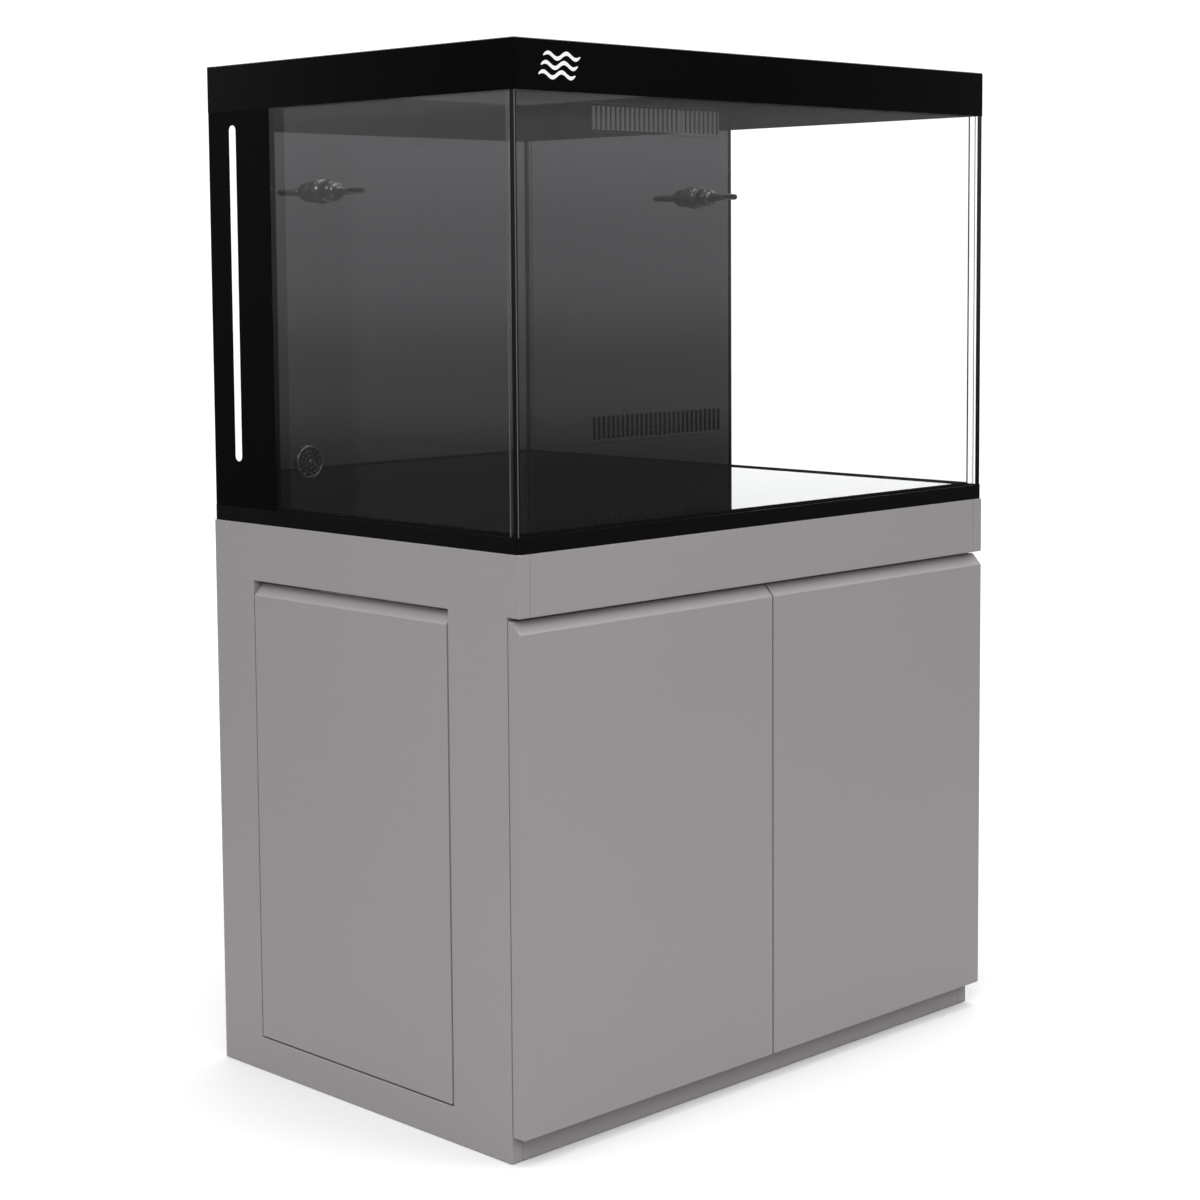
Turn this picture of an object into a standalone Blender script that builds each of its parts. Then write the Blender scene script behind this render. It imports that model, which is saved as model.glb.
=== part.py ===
"""Aquarium on stand: a glass tank with a rear filter chamber, on a cabinet with three doors.

Metres, +Z up, front towards -Y. The origin is the middle of the footprint, on the floor.
Each visible object is one physical piece. A moving piece has its origin on its joint axis.
"""

import math

import bmesh
import bpy
from mathutils import Matrix, Vector

# Driving dimensions
WIDTH = 0.900
DEPTH = 0.600
CABINET_HEIGHT = 0.740
TANK_HEIGHT = 0.600
BOARD = 0.018
DOOR = 0.020
GLASS = 0.012
TOUCH = 0.0003
PAST = 0.010  # how far a cutter runs beyond the faces it cuts

# Outer faces
LEFT = -WIDTH / 2
RIGHT = WIDTH / 2
FRONT = -DEPTH / 2
BACK = DEPTH / 2
RIM = CABINET_HEIGHT + TANK_HEIGHT

# Cabinet
CARCASS_FRONT = FRONT + DOOR + 0.002
INSIDE = RIGHT - BOARD - TOUCH
RAIL_BOTTOM = CABINET_HEIGHT - 0.076
KICK_HEIGHT = 0.034
FLOOR_TOP = KICK_HEIGHT + BOARD
CEILING = CABINET_HEIGHT - BOARD
CABLE_SLOT_BOTTOM = 0.640
PULL_DEPTH = 0.014
PULL_HEIGHT = 0.015
DOOR_GAP = 0.003
SIDE_OPENING_Y = (FRONT + 0.128, FRONT + 0.517)
SIDE_OPENING_Z = (0.045, RAIL_BOTTOM)
SIDE_GAP = 0.0025
TOP_GAP = 0.004
DOOR_TOP = RAIL_BOTTOM - TOP_GAP
POST_Y = SIDE_OPENING_Y[1] + 0.0035
BACKING_BOTTOM = 0.630
FRONT_PIVOT_Y = FRONT + DOOR + 0.001
SIDE_PIVOT = (LEFT, SIDE_OPENING_Y[1] - SIDE_GAP / 2, 0)

# Concealed hinges
CUP_RADIUS = 0.0175
CUP_DEPTH = 0.012
CUP_WALL = 0.0015
CUP_INSET = 0.0225
LINK_THICKNESS = 0.005
LINK_HEIGHT = 0.010
LINK_REACH = 0.030
ARM_DEPTH = (0.0325, 0.080)
ARM_HEIGHT = 0.016
ARM_OVERHANG = 0.006
MOUNT_PLATE = (0.003, 0.014, 0.048)
HINGE_HEIGHTS = {"upper": 0.545, "lower": 0.150}

# Magnetic catches: width or height, and the height range
CATCH_GAP = 0.020
CATCH_FRONT_WIDTH = 0.068
CATCH_FRONT_Z = (0.590, 0.614)
CATCH_SIDE_DEPTH = 0.014
CATCH_SIDE_Z = (0.340, 0.385)

# Side-door surround
POST_LENGTH = 0.090
STOP_OVERLAP = 0.012

# Tank
GLASS_X = RIGHT - 0.002
GLASS_Y = BACK - 0.002
JOINT = 0.0015
TRIM_TOP = CABINET_HEIGHT + 0.020
TRIM_FLANGE = 0.014
TRIM_CORNER = 0.006
MAT = 0.005
INNER_X = GLASS_X - GLASS
INNER_Y = GLASS_Y - GLASS
PANE_BOTTOM = CABINET_HEIGHT + 0.0036
BASE_GLASS_BOTTOM = CABINET_HEIGHT + 2 * TOUCH + MAT
BASE_GLASS_TOP = BASE_GLASS_BOTTOM + GLASS
FLOOR_PANEL_TOP = BASE_GLASS_TOP + TOUCH + 0.003
SEAM_FILLET = 0.007
BAND_BOTTOM = RIM - 0.060
FILM = 0.0008

# Rear filter chamber
DIVIDER_Y = (FRONT + 0.473, FRONT + 0.479)
DIVIDER_TOP = RIM - 0.015
DIVIDER_X = INNER_X - 0.0015
CHAMBER_Y = (DIVIDER_Y[1] + TOUCH, INNER_Y - TOUCH)
GRILLE_X = (0.128, 0.424)
GRILLE_HEIGHT = 0.044
GRILLE_FRAME = 0.005
GRILLE_PROUD = 0.002
WEIR_Z = CABINET_HEIGHT + 0.549
LOWER_GRILLE_Z = CABINET_HEIGHT + 0.095
SLOT_PITCH = 0.010
SLOT_WIDTH = 0.0055
WINDOW_Y = BACK - 0.055
WINDOW_Z = (CABINET_HEIGHT + 0.080, RIM - 0.078)
WINDOW_WIDTH = 0.015
STRAINER = (-0.388, CABINET_HEIGHT + 0.080)
PIPE_HOLE = 0.0135
BAFFLE = 0.005
BAFFLE_RIGHT_X = 0.118
BAFFLE_LEFT_X = -0.205
BAFFLE_RIGHT_Z = (BASE_GLASS_TOP + 0.045, RIM - 0.090)

# Return nozzles and plumbing
NOZZLE_X = 0.360
NOZZLE_Z = CABINET_HEIGHT + 0.435
BULKHEAD_TAIL = 0.030
BALL_RADIUS = 0.012
BALL_REACH = 0.022
PIPE_RADIUS = 0.010
PIPE_BEND = 0.028
PIPE_Y = 0.265
PUMP_X = -0.300
PUMP_Y = (0.205, 0.278)
PUMP_Z = (BASE_GLASS_TOP + TOUCH, BASE_GLASS_TOP + 0.078)
IMPELLER_Z = BASE_GLASS_TOP + 0.038
PUMP_BORE = 0.020
PUMP_HALF_WIDTH = 0.042
SPOUT = 0.012
SPOUT_TOP = PUMP_Z[1] + 0.0115
COVER_THICKNESS = 0.010
COVER_HALF_WIDTH = 0.034
COVER_HALF_HEIGHT = 0.030
INTAKE_RADIUS = 0.009
BLADES = 6

# Media basket
BASKET_X = (0.136, 0.338)
BASKET_CLEARANCE = 0.0045
BASKET_WALL = 0.0025
BASKET_TOP = NOZZLE_Z + 0.025
SPONGE_HEIGHT = 0.240

ROUND_SIDES = 24


def clear_scene():
    for thing in list(bpy.data.objects):
        bpy.data.objects.remove(thing)


def make_material(name, color, roughness, metallic=0.0, alpha=1.0):
    material = bpy.data.materials.new(name)
    material.use_nodes = True
    shader = material.node_tree.nodes["Principled BSDF"]
    shader.inputs["Base Color"].default_value = (*color, 1.0)
    shader.inputs["Roughness"].default_value = roughness
    shader.inputs["Metallic"].default_value = metallic
    shader.inputs["Alpha"].default_value = alpha
    return material


def add_object(name, shape, material, origin=(0, 0, 0)):
    """Turns a bmesh in world coordinates into an object whose origin is at origin."""
    bmesh.ops.recalc_face_normals(shape, faces=shape.faces)
    bmesh.ops.translate(shape, verts=shape.verts, vec=-Vector(origin))
    mesh = bpy.data.meshes.new(name)
    shape.to_mesh(mesh)
    shape.free()
    thing = bpy.data.objects.new(name, mesh)
    thing.location = origin
    mesh.materials.append(material)
    bpy.context.scene.collection.objects.link(thing)
    return thing


def add_box(shape, x, y, z):
    """Adds a box between three (low, high) pairs to a bmesh."""
    size = Matrix.Diagonal((x[1] - x[0], y[1] - y[0], z[1] - z[0], 1))
    centre = Matrix.Translation(((x[0] + x[1]) / 2, (y[0] + y[1]) / 2, (z[0] + z[1]) / 2))
    bmesh.ops.create_cube(shape, size=1, matrix=centre @ size)


def box(name, x, y, z, material, origin=(0, 0, 0)):
    shape = bmesh.new()
    add_box(shape, x, y, z)
    return add_object(name, shape, material, origin)


def prism(name, outline, axis, span, material, origin=(0, 0, 0)):
    """Extrudes an outline along X, Y or Z. Its points hold the other two coordinates, in order."""
    place = "XYZ".index(axis)
    shape = bmesh.new()
    rings = []
    for along in span:
        corners = []
        for point in outline:
            corner = list(point)
            corner.insert(place, along)
            corners.append(shape.verts.new(corner))
        rings.append(corners)
    shape.faces.new(rings[0])
    shape.faces.new(rings[1][::-1])
    skin(shape, rings)
    return add_object(name, shape, material, origin)


def skin(shape, rings):
    """Joins each ring of vertices to the next with a band of faces."""
    for ring, following in zip(rings, rings[1:]):
        for i in range(len(ring)):
            j = (i + 1) % len(ring)
            shape.faces.new((ring[i], ring[j], following[j], following[i]))


def smooth(thing, angle=math.radians(35)):
    thing.data.shade_smooth()
    thing.data.set_sharp_from_angle(angle=angle)
    return thing


def ring_of_points(width, height, along, centre, sides):
    """An ellipse in the XZ plane, at a distance along -Y from centre."""
    points = []
    for i in range(sides):
        angle = 2 * math.pi * i / sides
        offset = (width * math.cos(angle), -along, height * math.sin(angle))
        points.append(Vector(centre) + Vector(offset))
    return points


def loft(name, sections, centre, material, closed_ring=False, sides=ROUND_SIDES, origin=(0, 0, 0)):
    """Skins (along, half width, half height) sections that follow each other along -Y.

    A closed ring joins its last section to its first, so it is a tube with a wall.
    Otherwise flat caps close both ends.
    """
    shape = bmesh.new()
    rings = []
    for along, width, height in sections:
        points = ring_of_points(width, height, along, centre, sides)
        rings.append([shape.verts.new(point) for point in points])
    if closed_ring:
        skin(shape, rings + rings[:1])
    else:
        shape.faces.new(rings[0])
        shape.faces.new(rings[-1][::-1])
        skin(shape, rings)
    return smooth(add_object(name, shape, material, origin))


def round_section(along, radius):
    return (along, radius, radius)


def helper(thing):
    """Keeps a cutting or joining shape out of the model."""
    thing.hide_render = True
    thing.display_type = "WIRE"
    return thing


def combine(thing, other, operation):
    modifier = thing.modifiers.new(operation.lower(), "BOOLEAN")
    modifier.operation = operation
    modifier.object = helper(other)
    return thing


def cut(thing, cutter):
    return combine(thing, cutter, "DIFFERENCE")


def cut_slots(thing, centre_z, depth):
    """Cuts the row of upright slots of one grille."""
    shape = bmesh.new()
    middle = sum(GRILLE_X) / 2
    count = int((GRILLE_X[1] - GRILLE_X[0]) / SLOT_PITCH) - 1
    half_height = GRILLE_HEIGHT / 2 - GRILLE_FRAME
    for i in range(count):
        x = middle + (i - (count - 1) / 2) * SLOT_PITCH
        add_box(
            shape,
            (x - SLOT_WIDTH / 2, x + SLOT_WIDTH / 2),
            depth,
            (centre_z - half_height, centre_z + half_height),
        )
    return cut(thing, add_object(thing.name + "_slots", shape, MATERIALS["black_plastic"]))


def make_materials():
    return {
        "cabinet_paint": make_material("cabinet_paint", (0.30, 0.29, 0.285), 0.45),
        "hinge_steel": make_material("hinge_steel", (0.62, 0.62, 0.62), 0.3, metallic=1.0),
        "catch_plastic": make_material("catch_plastic", (0.55, 0.55, 0.55), 0.5),
        "trim_plastic": make_material("trim_plastic", (0.012, 0.012, 0.013), 0.35),
        "foam": make_material("foam", (0.03, 0.03, 0.03), 0.95),
        "glass": make_material("glass", (0.92, 0.96, 0.95), 0.02, alpha=0.25),
        "black_glass": make_material("black_glass", (0.006, 0.006, 0.007), 0.05),
        "black_film": make_material("black_film", (0.005, 0.005, 0.005), 0.35),
        "silicone": make_material("silicone", (0.01, 0.01, 0.01), 0.4),
        "window_acrylic": make_material("window_acrylic", (0.85, 0.86, 0.86), 0.3),
        "black_plastic": make_material("black_plastic", (0.03, 0.03, 0.032), 0.3),
        "sponge": make_material("sponge", (0.06, 0.08, 0.12), 0.95),
    }


def side_panel(name, x):
    """A full-height side, whose front edge steps back behind the doors."""
    outline = [
        (CARCASS_FRONT, 0),
        (BACK, 0),
        (BACK, CABINET_HEIGHT),
        (FRONT, CABINET_HEIGHT),
        (FRONT, RAIL_BOTTOM),
        (CARCASS_FRONT, RAIL_BOTTOM),
    ]
    return prism(name, outline, "X", x, MATERIALS["cabinet_paint"])


def fascia_rail(span):
    """The front rail, whose lower back part closes the gap above the doors."""
    backing = CARCASS_FRONT + BOARD
    outline = [
        (FRONT, RAIL_BOTTOM),
        (CARCASS_FRONT, RAIL_BOTTOM),
        (CARCASS_FRONT, BACKING_BOTTOM),
        (backing, BACKING_BOTTOM),
        (backing, CEILING - TOUCH),
        (FRONT + BOARD, CEILING - TOUCH),
        (FRONT + BOARD, CABINET_HEIGHT),
        (FRONT, CABINET_HEIGHT),
    ]
    prism("fascia_rail", outline, "X", span, MATERIALS["cabinet_paint"])


def make_carcass():
    paint = MATERIALS["cabinet_paint"]
    between = (-INSIDE, INSIDE)
    left = side_panel("side_panel_left", (LEFT, LEFT + BOARD))
    opening = box("side_opening", (LEFT - BOARD, LEFT + 2 * BOARD), SIDE_OPENING_Y, SIDE_OPENING_Z, paint)
    cut(left, opening)
    side_panel("side_panel_right", (RIGHT - BOARD, RIGHT))
    fascia_rail(between)
    inner_back = BACK - BOARD - TOUCH
    rail_back = FRONT + BOARD + TOUCH
    box("top_panel", between, (rail_back, BACK), (CEILING, CABINET_HEIGHT), paint)
    box("bottom_panel", between, (CARCASS_FRONT, inner_back), (KICK_HEIGHT, FLOOR_TOP), paint)
    plinth_y = (CARCASS_FRONT, CARCASS_FRONT + BOARD)
    box("plinth_rail", between, plinth_y, (0, KICK_HEIGHT - TOUCH), paint)
    box("back_panel", between, (BACK - BOARD, BACK), (0, CABLE_SLOT_BOTTOM), paint)
    upright = (FLOOR_TOP + TOUCH, CEILING - TOUCH)
    partition_y = (CARCASS_FRONT + CATCH_GAP, inner_back)
    box("centre_partition", (-BOARD / 2, BOARD / 2), partition_y, upright, paint)
    post_x = (-INSIDE, -INSIDE + POST_LENGTH)
    box("side_door_post", post_x, (POST_Y, POST_Y + BOARD), upright, paint)
    stop_y = (SIDE_OPENING_Y[0] - BOARD, SIDE_OPENING_Y[0] + STOP_OVERLAP)
    box("side_door_stop", (-INSIDE, -INSIDE + BOARD), stop_y, upright, paint)


def pull_profile(outer, inner, bottom, top):
    """A door's section, with its top outer edge sloped back for the fingers."""
    toward = 1 if inner > outer else -1
    return [
        (outer, bottom),
        (inner, bottom),
        (inner, top),
        (outer + toward * PULL_DEPTH, top),
        (outer, top - PULL_HEIGHT),
    ]


def make_doors():
    """The front doors turn about their outer back edges, and the side door about its rear outer edge."""
    paint = MATERIALS["cabinet_paint"]
    section = pull_profile(FRONT, FRONT + DOOR, KICK_HEIGHT, DOOR_TOP)
    spans = {"door_left": (LEFT, -DOOR_GAP / 2), "door_right": (DOOR_GAP / 2, RIGHT)}
    for name, span in spans.items():
        pivot = (math.copysign(RIGHT, sum(span)), FRONT_PIVOT_Y, 0)
        prism(name, section, "X", span, paint, pivot)
    bottom, top = SIDE_OPENING_Z[0] + SIDE_GAP, SIDE_OPENING_Z[1] - TOP_GAP
    section = pull_profile(LEFT, LEFT + BOARD, bottom, top)
    span = (SIDE_OPENING_Y[0] + SIDE_GAP, SIDE_OPENING_Y[1] - SIDE_GAP)
    prism("side_door", section, "Y", span, paint, SIDE_PIVOT)


def hinge(door, level, frame, pivot, cup_reach):
    """A concealed hinge: the arm is on the carcass, and the cup with its short link is in the door.

    frame maps the hinge's own axes: x runs from the mounting face across the door, y runs from
    the door's back into the cabinet, and z is up.
    """
    steel = MATERIALS["hinge_steel"]
    lie_flat = frame @ Matrix.Translation((cup_reach, 0, 0))

    def placed(name, x, y, height):
        shape = bmesh.new()
        add_box(shape, x, y, (-height / 2, height / 2))
        bmesh.ops.transform(shape, matrix=frame, verts=shape.verts)
        return add_object(name, shape, steel, pivot if "cup" in name else (0, 0, 0))

    def turned(name, sections):
        thing = loft(name, sections, (0, 0, 0), steel)
        thing.data.transform(Matrix.Translation(-Vector(pivot)) @ lie_flat)
        if frame.determinant() < 0:
            thing.data.flip_normals()
        thing.location = pivot
        return thing

    bore_radius = CUP_RADIUS + TOUCH
    bore_ends = [round_section(-PAST, bore_radius), round_section(CUP_DEPTH + TOUCH, bore_radius)]
    cut(bpy.data.objects[door], turned(f"bore_{door}_{level}", bore_ends))
    cup = turned(
        f"hinge_cup_{door}_{level}",
        [
            round_section(CUP_DEPTH, CUP_RADIUS),
            round_section(-TOUCH, CUP_RADIUS),
            round_section(-TOUCH, CUP_RADIUS - CUP_WALL),
            round_section(CUP_DEPTH - CUP_WALL, CUP_RADIUS - CUP_WALL),
        ],
    )
    link_x = (cup_reach - LINK_THICKNESS / 2, cup_reach + LINK_THICKNESS / 2)
    link_y = (CUP_WALL / 2 - CUP_DEPTH, LINK_REACH)
    link = placed(f"link_cup_{door}_{level}", link_x, link_y, LINK_HEIGHT)
    combine(cup, link, "UNION")
    arm_x = (TOUCH, cup_reach + ARM_OVERHANG)
    arm = placed(f"hinge_arm_{door}_{level}", arm_x, ARM_DEPTH, ARM_HEIGHT)
    thickness, length, height = MOUNT_PLATE
    plate_y = (ARM_DEPTH[1] - length, ARM_DEPTH[1] - TOUCH)
    plate = placed(f"arm_plate_{door}_{level}", (TOUCH, thickness), plate_y, height)
    combine(arm, plate, "UNION")


def make_hinges():
    back = FRONT + DOOR
    for level, height in HINGE_HEIGHTS.items():
        for door, side in (("door_left", -1), ("door_right", 1)):
            face = side * (RIGHT - BOARD)
            frame = Matrix.Translation((face, back, height)) @ Matrix.Diagonal((-side, 1, 1, 1))
            pivot = Vector((side * RIGHT, FRONT_PIVOT_Y, 0))
            hinge(door, level, frame, pivot, CUP_INSET - BOARD)
        axes = Matrix(((0, 1, 0, 0), (-1, 0, 0, 0), (0, 0, 1, 0), (0, 0, 0, 1)))
        frame = Matrix.Translation((LEFT + BOARD, POST_Y, height)) @ axes
        edge = POST_Y - (SIDE_OPENING_Y[1] - SIDE_GAP)
        hinge("side_door", level, frame, Vector(SIDE_PIVOT), edge + CUP_INSET)


def make_catches():
    """Magnetic catches: one in front of the partition for both doors, and one on the side-door stop."""
    plastic = MATERIALS["catch_plastic"]
    front_x = (-CATCH_FRONT_WIDTH / 2, CATCH_FRONT_WIDTH / 2)
    front_y = (CARCASS_FRONT + 2 * TOUCH, CARCASS_FRONT + CATCH_GAP - TOUCH)
    box("catch_front", front_x, front_y, CATCH_FRONT_Z, plastic)
    side_x = (LEFT + BOARD + 3 * TOUCH, LEFT + 2 * BOARD)
    stop_back = SIDE_OPENING_Y[0] + STOP_OVERLAP + TOUCH
    box("catch_side", side_x, (stop_back, stop_back + CATCH_SIDE_DEPTH), CATCH_SIDE_Z, plastic)


def rounded_rectangle(half_x, half_y, radius, steps=4):
    points = []
    for quarter, (sx, sy) in enumerate(((1, 1), (-1, 1), (-1, -1), (1, -1))):
        for i in range(steps + 1):
            angle = math.pi / 2 * (quarter + i / steps)
            x = sx * (half_x - radius) + radius * math.cos(angle)
            y = sy * (half_y - radius) + radius * math.sin(angle)
            points.append((x, y))
    return points


def make_base():
    trim = MATERIALS["trim_plastic"]
    outline = rounded_rectangle(RIGHT, BACK, TRIM_CORNER)
    ring = prism("base_trim", outline, "Z", (CABINET_HEIGHT + TOUCH, TRIM_TOP), trim)
    seat_x = GLASS_X + TOUCH
    seat_y = GLASS_Y + TOUCH
    seat_z = (PANE_BOTTOM - TOUCH, TRIM_TOP + PAST)
    cut(ring, box("trim_seat", (-seat_x, seat_x), (-seat_y, seat_y), seat_z, trim))
    hole_x = RIGHT - TRIM_FLANGE
    hole_y = BACK - TRIM_FLANGE
    hole_z = (CABINET_HEIGHT - PAST, TRIM_TOP)
    cut(ring, box("trim_hole", (-hole_x, hole_x), (-hole_y, hole_y), hole_z, trim))
    mat_x = hole_x - TOUCH
    mat_y = hole_y - TOUCH
    mat_z = (CABINET_HEIGHT + TOUCH, CABINET_HEIGHT + TOUCH + MAT)
    box("leveling_mat", (-mat_x, mat_x), (-mat_y, mat_y), mat_z, MATERIALS["foam"])


def make_panes():
    """The front and rear panes run the full width, and the side panes stand between them."""
    glass = MATERIALS["glass"]
    height = (PANE_BOTTOM, RIM)
    full = (-GLASS_X, GLASS_X)
    between = (-INNER_Y + JOINT, INNER_Y - JOINT)
    box("front_glass", full, (-GLASS_Y, -INNER_Y), height, glass)
    box("rear_glass", full, (INNER_Y, GLASS_Y), height, MATERIALS["black_glass"])
    box("left_glass", (-GLASS_X, -INNER_X), between, height, glass)
    box("right_glass", (INNER_X, GLASS_X), between, height, glass)
    base_x = INNER_X - JOINT
    base_y = INNER_Y - JOINT
    base_z = (BASE_GLASS_BOTTOM, BASE_GLASS_TOP)
    box("bottom_glass", (-base_x, base_x), (-base_y, base_y), base_z, glass)
    panel_x = INNER_X - TOUCH
    panel_y = (-INNER_Y + TOUCH, DIVIDER_Y[0] - TOUCH)
    panel_z = (BASE_GLASS_TOP + TOUCH, FLOOR_PANEL_TOP)
    box("floor_panel", (-panel_x, panel_x), panel_y, panel_z, MATERIALS["black_glass"])


def make_seams():
    """Black silicone in the front corners: a layer in the joint and a fillet inside."""
    x = INNER_X - TOUCH
    y = -INNER_Y + TOUCH
    layer = -INNER_Y + JOINT - TOUCH
    outer = GLASS_X - TOUCH
    outline = [(outer, y), (x - SEAM_FILLET, y), (x, y + SEAM_FILLET), (x, layer), (outer, layer)]
    span = (FLOOR_PANEL_TOP + TOUCH, BAND_BOTTOM - TOUCH)
    for name, side in (("silicone_seam_left", -1), ("silicone_seam_right", 1)):
        corner = [(side * px, py) for px, py in outline]
        prism(name, corner, "Z", span, MATERIALS["silicone"])


def make_band():
    film = MATERIALS["black_film"]
    x = INNER_X - TOUCH
    y = INNER_Y - TOUCH
    band = box("top_band", (-x, x), (-y, y), (BAND_BOTTOM, RIM - TOUCH), film)
    hole_x = (-x + FILM, x - FILM)
    hole_y = (-y + FILM, y - FILM)
    cut(band, box("band_hole", hole_x, hole_y, (BAND_BOTTOM - PAST, RIM + PAST), film))


def stadium(centre, half_length, radius, steps=6):
    """A slot outline with round ends, long in its second coordinate."""
    points = []
    for end in (1, -1):
        for i in range(steps + 1):
            angle = math.pi * i / steps + (0 if end == 1 else math.pi)
            across = centre[0] + radius * math.cos(angle)
            along = centre[1] + end * (half_length - radius) + radius * math.sin(angle)
            points.append((across, along))
    return points


def make_chamber_films():
    """Black film behind the side panes, with a white level window on the left."""
    film = MATERIALS["black_film"]
    height = (FLOOR_PANEL_TOP, BAND_BOTTOM - TOUCH)
    outer = INNER_X - TOUCH
    span_y = (DIVIDER_Y[0], CHAMBER_Y[1])
    left = box("chamber_film_left", (-outer, -outer + FILM), span_y, height, film)
    box("chamber_film_right", (outer - FILM, outer), span_y, height, film)
    centre = (WINDOW_Y, sum(WINDOW_Z) / 2)
    half_length = (WINDOW_Z[1] - WINDOW_Z[0]) / 2
    hole = stadium(centre, half_length, WINDOW_WIDTH / 2)
    cut(left, prism("window_hole", hole, "X", (-outer - PAST, -outer + PAST), film))
    strip = stadium(centre, half_length - TOUCH, WINDOW_WIDTH / 2 - TOUCH)
    prism("level_window", strip, "X", (-outer, -outer + FILM), MATERIALS["window_acrylic"])


def make_divider():
    plastic = MATERIALS["black_plastic"]
    height = (BASE_GLASS_TOP + TOUCH, DIVIDER_TOP)
    divider = box("divider_panel", (-DIVIDER_X, DIVIDER_X), DIVIDER_Y, height, MATERIALS["black_glass"])
    through = (DIVIDER_Y[0] - PAST, DIVIDER_Y[1] + PAST)
    for name, middle in (("weir_comb", WEIR_Z), ("lower_grille", LOWER_GRILLE_Z)):
        span_z = (middle - GRILLE_HEIGHT / 2, middle + GRILLE_HEIGHT / 2)
        cut(divider, box(name + "_hole", GRILLE_X, through, span_z, plastic))
        plate_x = (GRILLE_X[0] + TOUCH, GRILLE_X[1] - TOUCH)
        plate_y = (DIVIDER_Y[0] - GRILLE_PROUD, DIVIDER_Y[1])
        plate_z = (span_z[0] + TOUCH, span_z[1] - TOUCH)
        comb = box(name, plate_x, plate_y, plate_z, plastic)
        cut_slots(comb, middle, through)
    ends = [round_section(-2 * PAST, PIPE_HOLE), round_section(2 * PAST, PIPE_HOLE)]
    for i, (x, z) in enumerate(((-NOZZLE_X, NOZZLE_Z), (NOZZLE_X, NOZZLE_Z), STRAINER)):
        cut(divider, loft(f"pipe_hole_{i}", ends, (x, DIVIDER_Y[0], z), plastic))
    sections = [(-0.006, 0.013), (TOUCH, 0.013), (TOUCH, 0.022), (0.004, 0.022), (0.007, 0.016)]
    x, z = STRAINER
    loft("drain_strainer", [round_section(*s) for s in sections], (x, DIVIDER_Y[0], z), plastic)


def make_baffles():
    """The right baffle leaves a gap below and a notch for the pipe. The left one is a low overflow."""
    front, back = CHAMBER_Y
    notch_y = PIPE_Y - PIPE_RADIUS - 0.003
    notch_z = NOZZLE_Z - PIPE_RADIUS - 0.005
    bottom, top = BAFFLE_RIGHT_Z
    outline = [
        (front, bottom),
        (back, bottom),
        (back, notch_z),
        (notch_y, notch_z),
        (notch_y, top),
        (front, top),
    ]
    span = (BAFFLE_RIGHT_X, BAFFLE_RIGHT_X + BAFFLE)
    prism("baffle_right", outline, "X", span, MATERIALS["black_plastic"])
    span = (BAFFLE_LEFT_X, BAFFLE_LEFT_X + BAFFLE)
    height = (BASE_GLASS_TOP + TOUCH, NOZZLE_Z - 0.025)
    box("baffle_left", span, CHAMBER_Y, height, MATERIALS["black_plastic"])


def make_nozzle(side_name, x):
    """A bulkhead through the divider, a ball that pans in it and a flared tip that tilts on the ball."""
    plastic = MATERIALS["black_plastic"]
    face = (x, DIVIDER_Y[0], NOZZLE_Z)
    wall = DIVIDER_Y[1] - DIVIDER_Y[0]
    bulkhead = [
        (-BULKHEAD_TAIL, 0.0130),
        (-0.014, 0.0130),
        (-0.014, 0.0185),
        (-wall - TOUCH, 0.0185),
        (-wall - TOUCH, 0.0130),
        (TOUCH, 0.0130),
        (TOUCH, 0.0210),
        (0.0100, 0.0210),
        (0.0145, 0.0165),
        (0.0145, 0.0126),
        (0.0070, 0.0126),
        (0.0050, 0.0090),
        (-BULKHEAD_TAIL, 0.0090),
    ]
    rings = [round_section(*s) for s in bulkhead]
    loft("bulkhead_" + side_name, rings, face, plastic, closed_ring=True)

    ball_centre = (x, DIVIDER_Y[0] - BALL_REACH, NOZZLE_Z)
    shape = bmesh.new()
    turn = Matrix.Translation(ball_centre) @ Matrix.Rotation(math.pi / 2, 4, "X")
    bmesh.ops.create_uvsphere(shape, u_segments=20, v_segments=12, radius=BALL_RADIUS, matrix=turn)
    smooth(add_object("nozzle_ball_" + side_name, shape, plastic, ball_centre))

    socket = BALL_RADIUS + 0.0006
    rim_along = 0.003
    throat = 0.0070
    throat_along = math.sqrt(socket**2 - throat**2)
    rim_radius = math.sqrt(socket**2 - rim_along**2)
    middle_angle = 0.5 * (math.atan2(rim_radius, rim_along) + math.atan2(throat, throat_along))
    tip = [
        round_section(rim_along, 0.0150),
        round_section(0.0100, 0.0145),
        round_section(0.0160, 0.0110),
        (0.0220, 0.0112, 0.0098),
        (0.0360, 0.0170, 0.0066),
        (0.0520, 0.0230, 0.0046),
        (0.0520, 0.0215, 0.0031),
        (0.0360, 0.0155, 0.0048),
        (0.0220, 0.0085, 0.0070),
        round_section(0.0160, throat),
        round_section(throat_along, throat),
        round_section(socket * math.cos(middle_angle), socket * math.sin(middle_angle)),
        round_section(rim_along, rim_radius),
    ]
    name = "nozzle_tip_" + side_name
    loft(name, tip, ball_centre, plastic, closed_ring=True, origin=ball_centre)


def bent_route(corners, radius, steps=5):
    """The points of a route whose inner corners are rounded to radius."""
    corners = [Vector(corner) for corner in corners]
    points = [corners[0]]
    for before, corner, after in zip(corners, corners[1:], corners[2:]):
        start = corner + (before - corner).normalized() * radius
        end = corner + (after - corner).normalized() * radius
        for i in range(steps + 1):
            turn = i / steps * math.pi / 2
            toward_start = (start - corner) * (1 - math.sin(turn))
            toward_end = (end - corner) * (1 - math.cos(turn))
            points.append(corner + toward_start + toward_end)
    return points + [corners[-1]]


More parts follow.
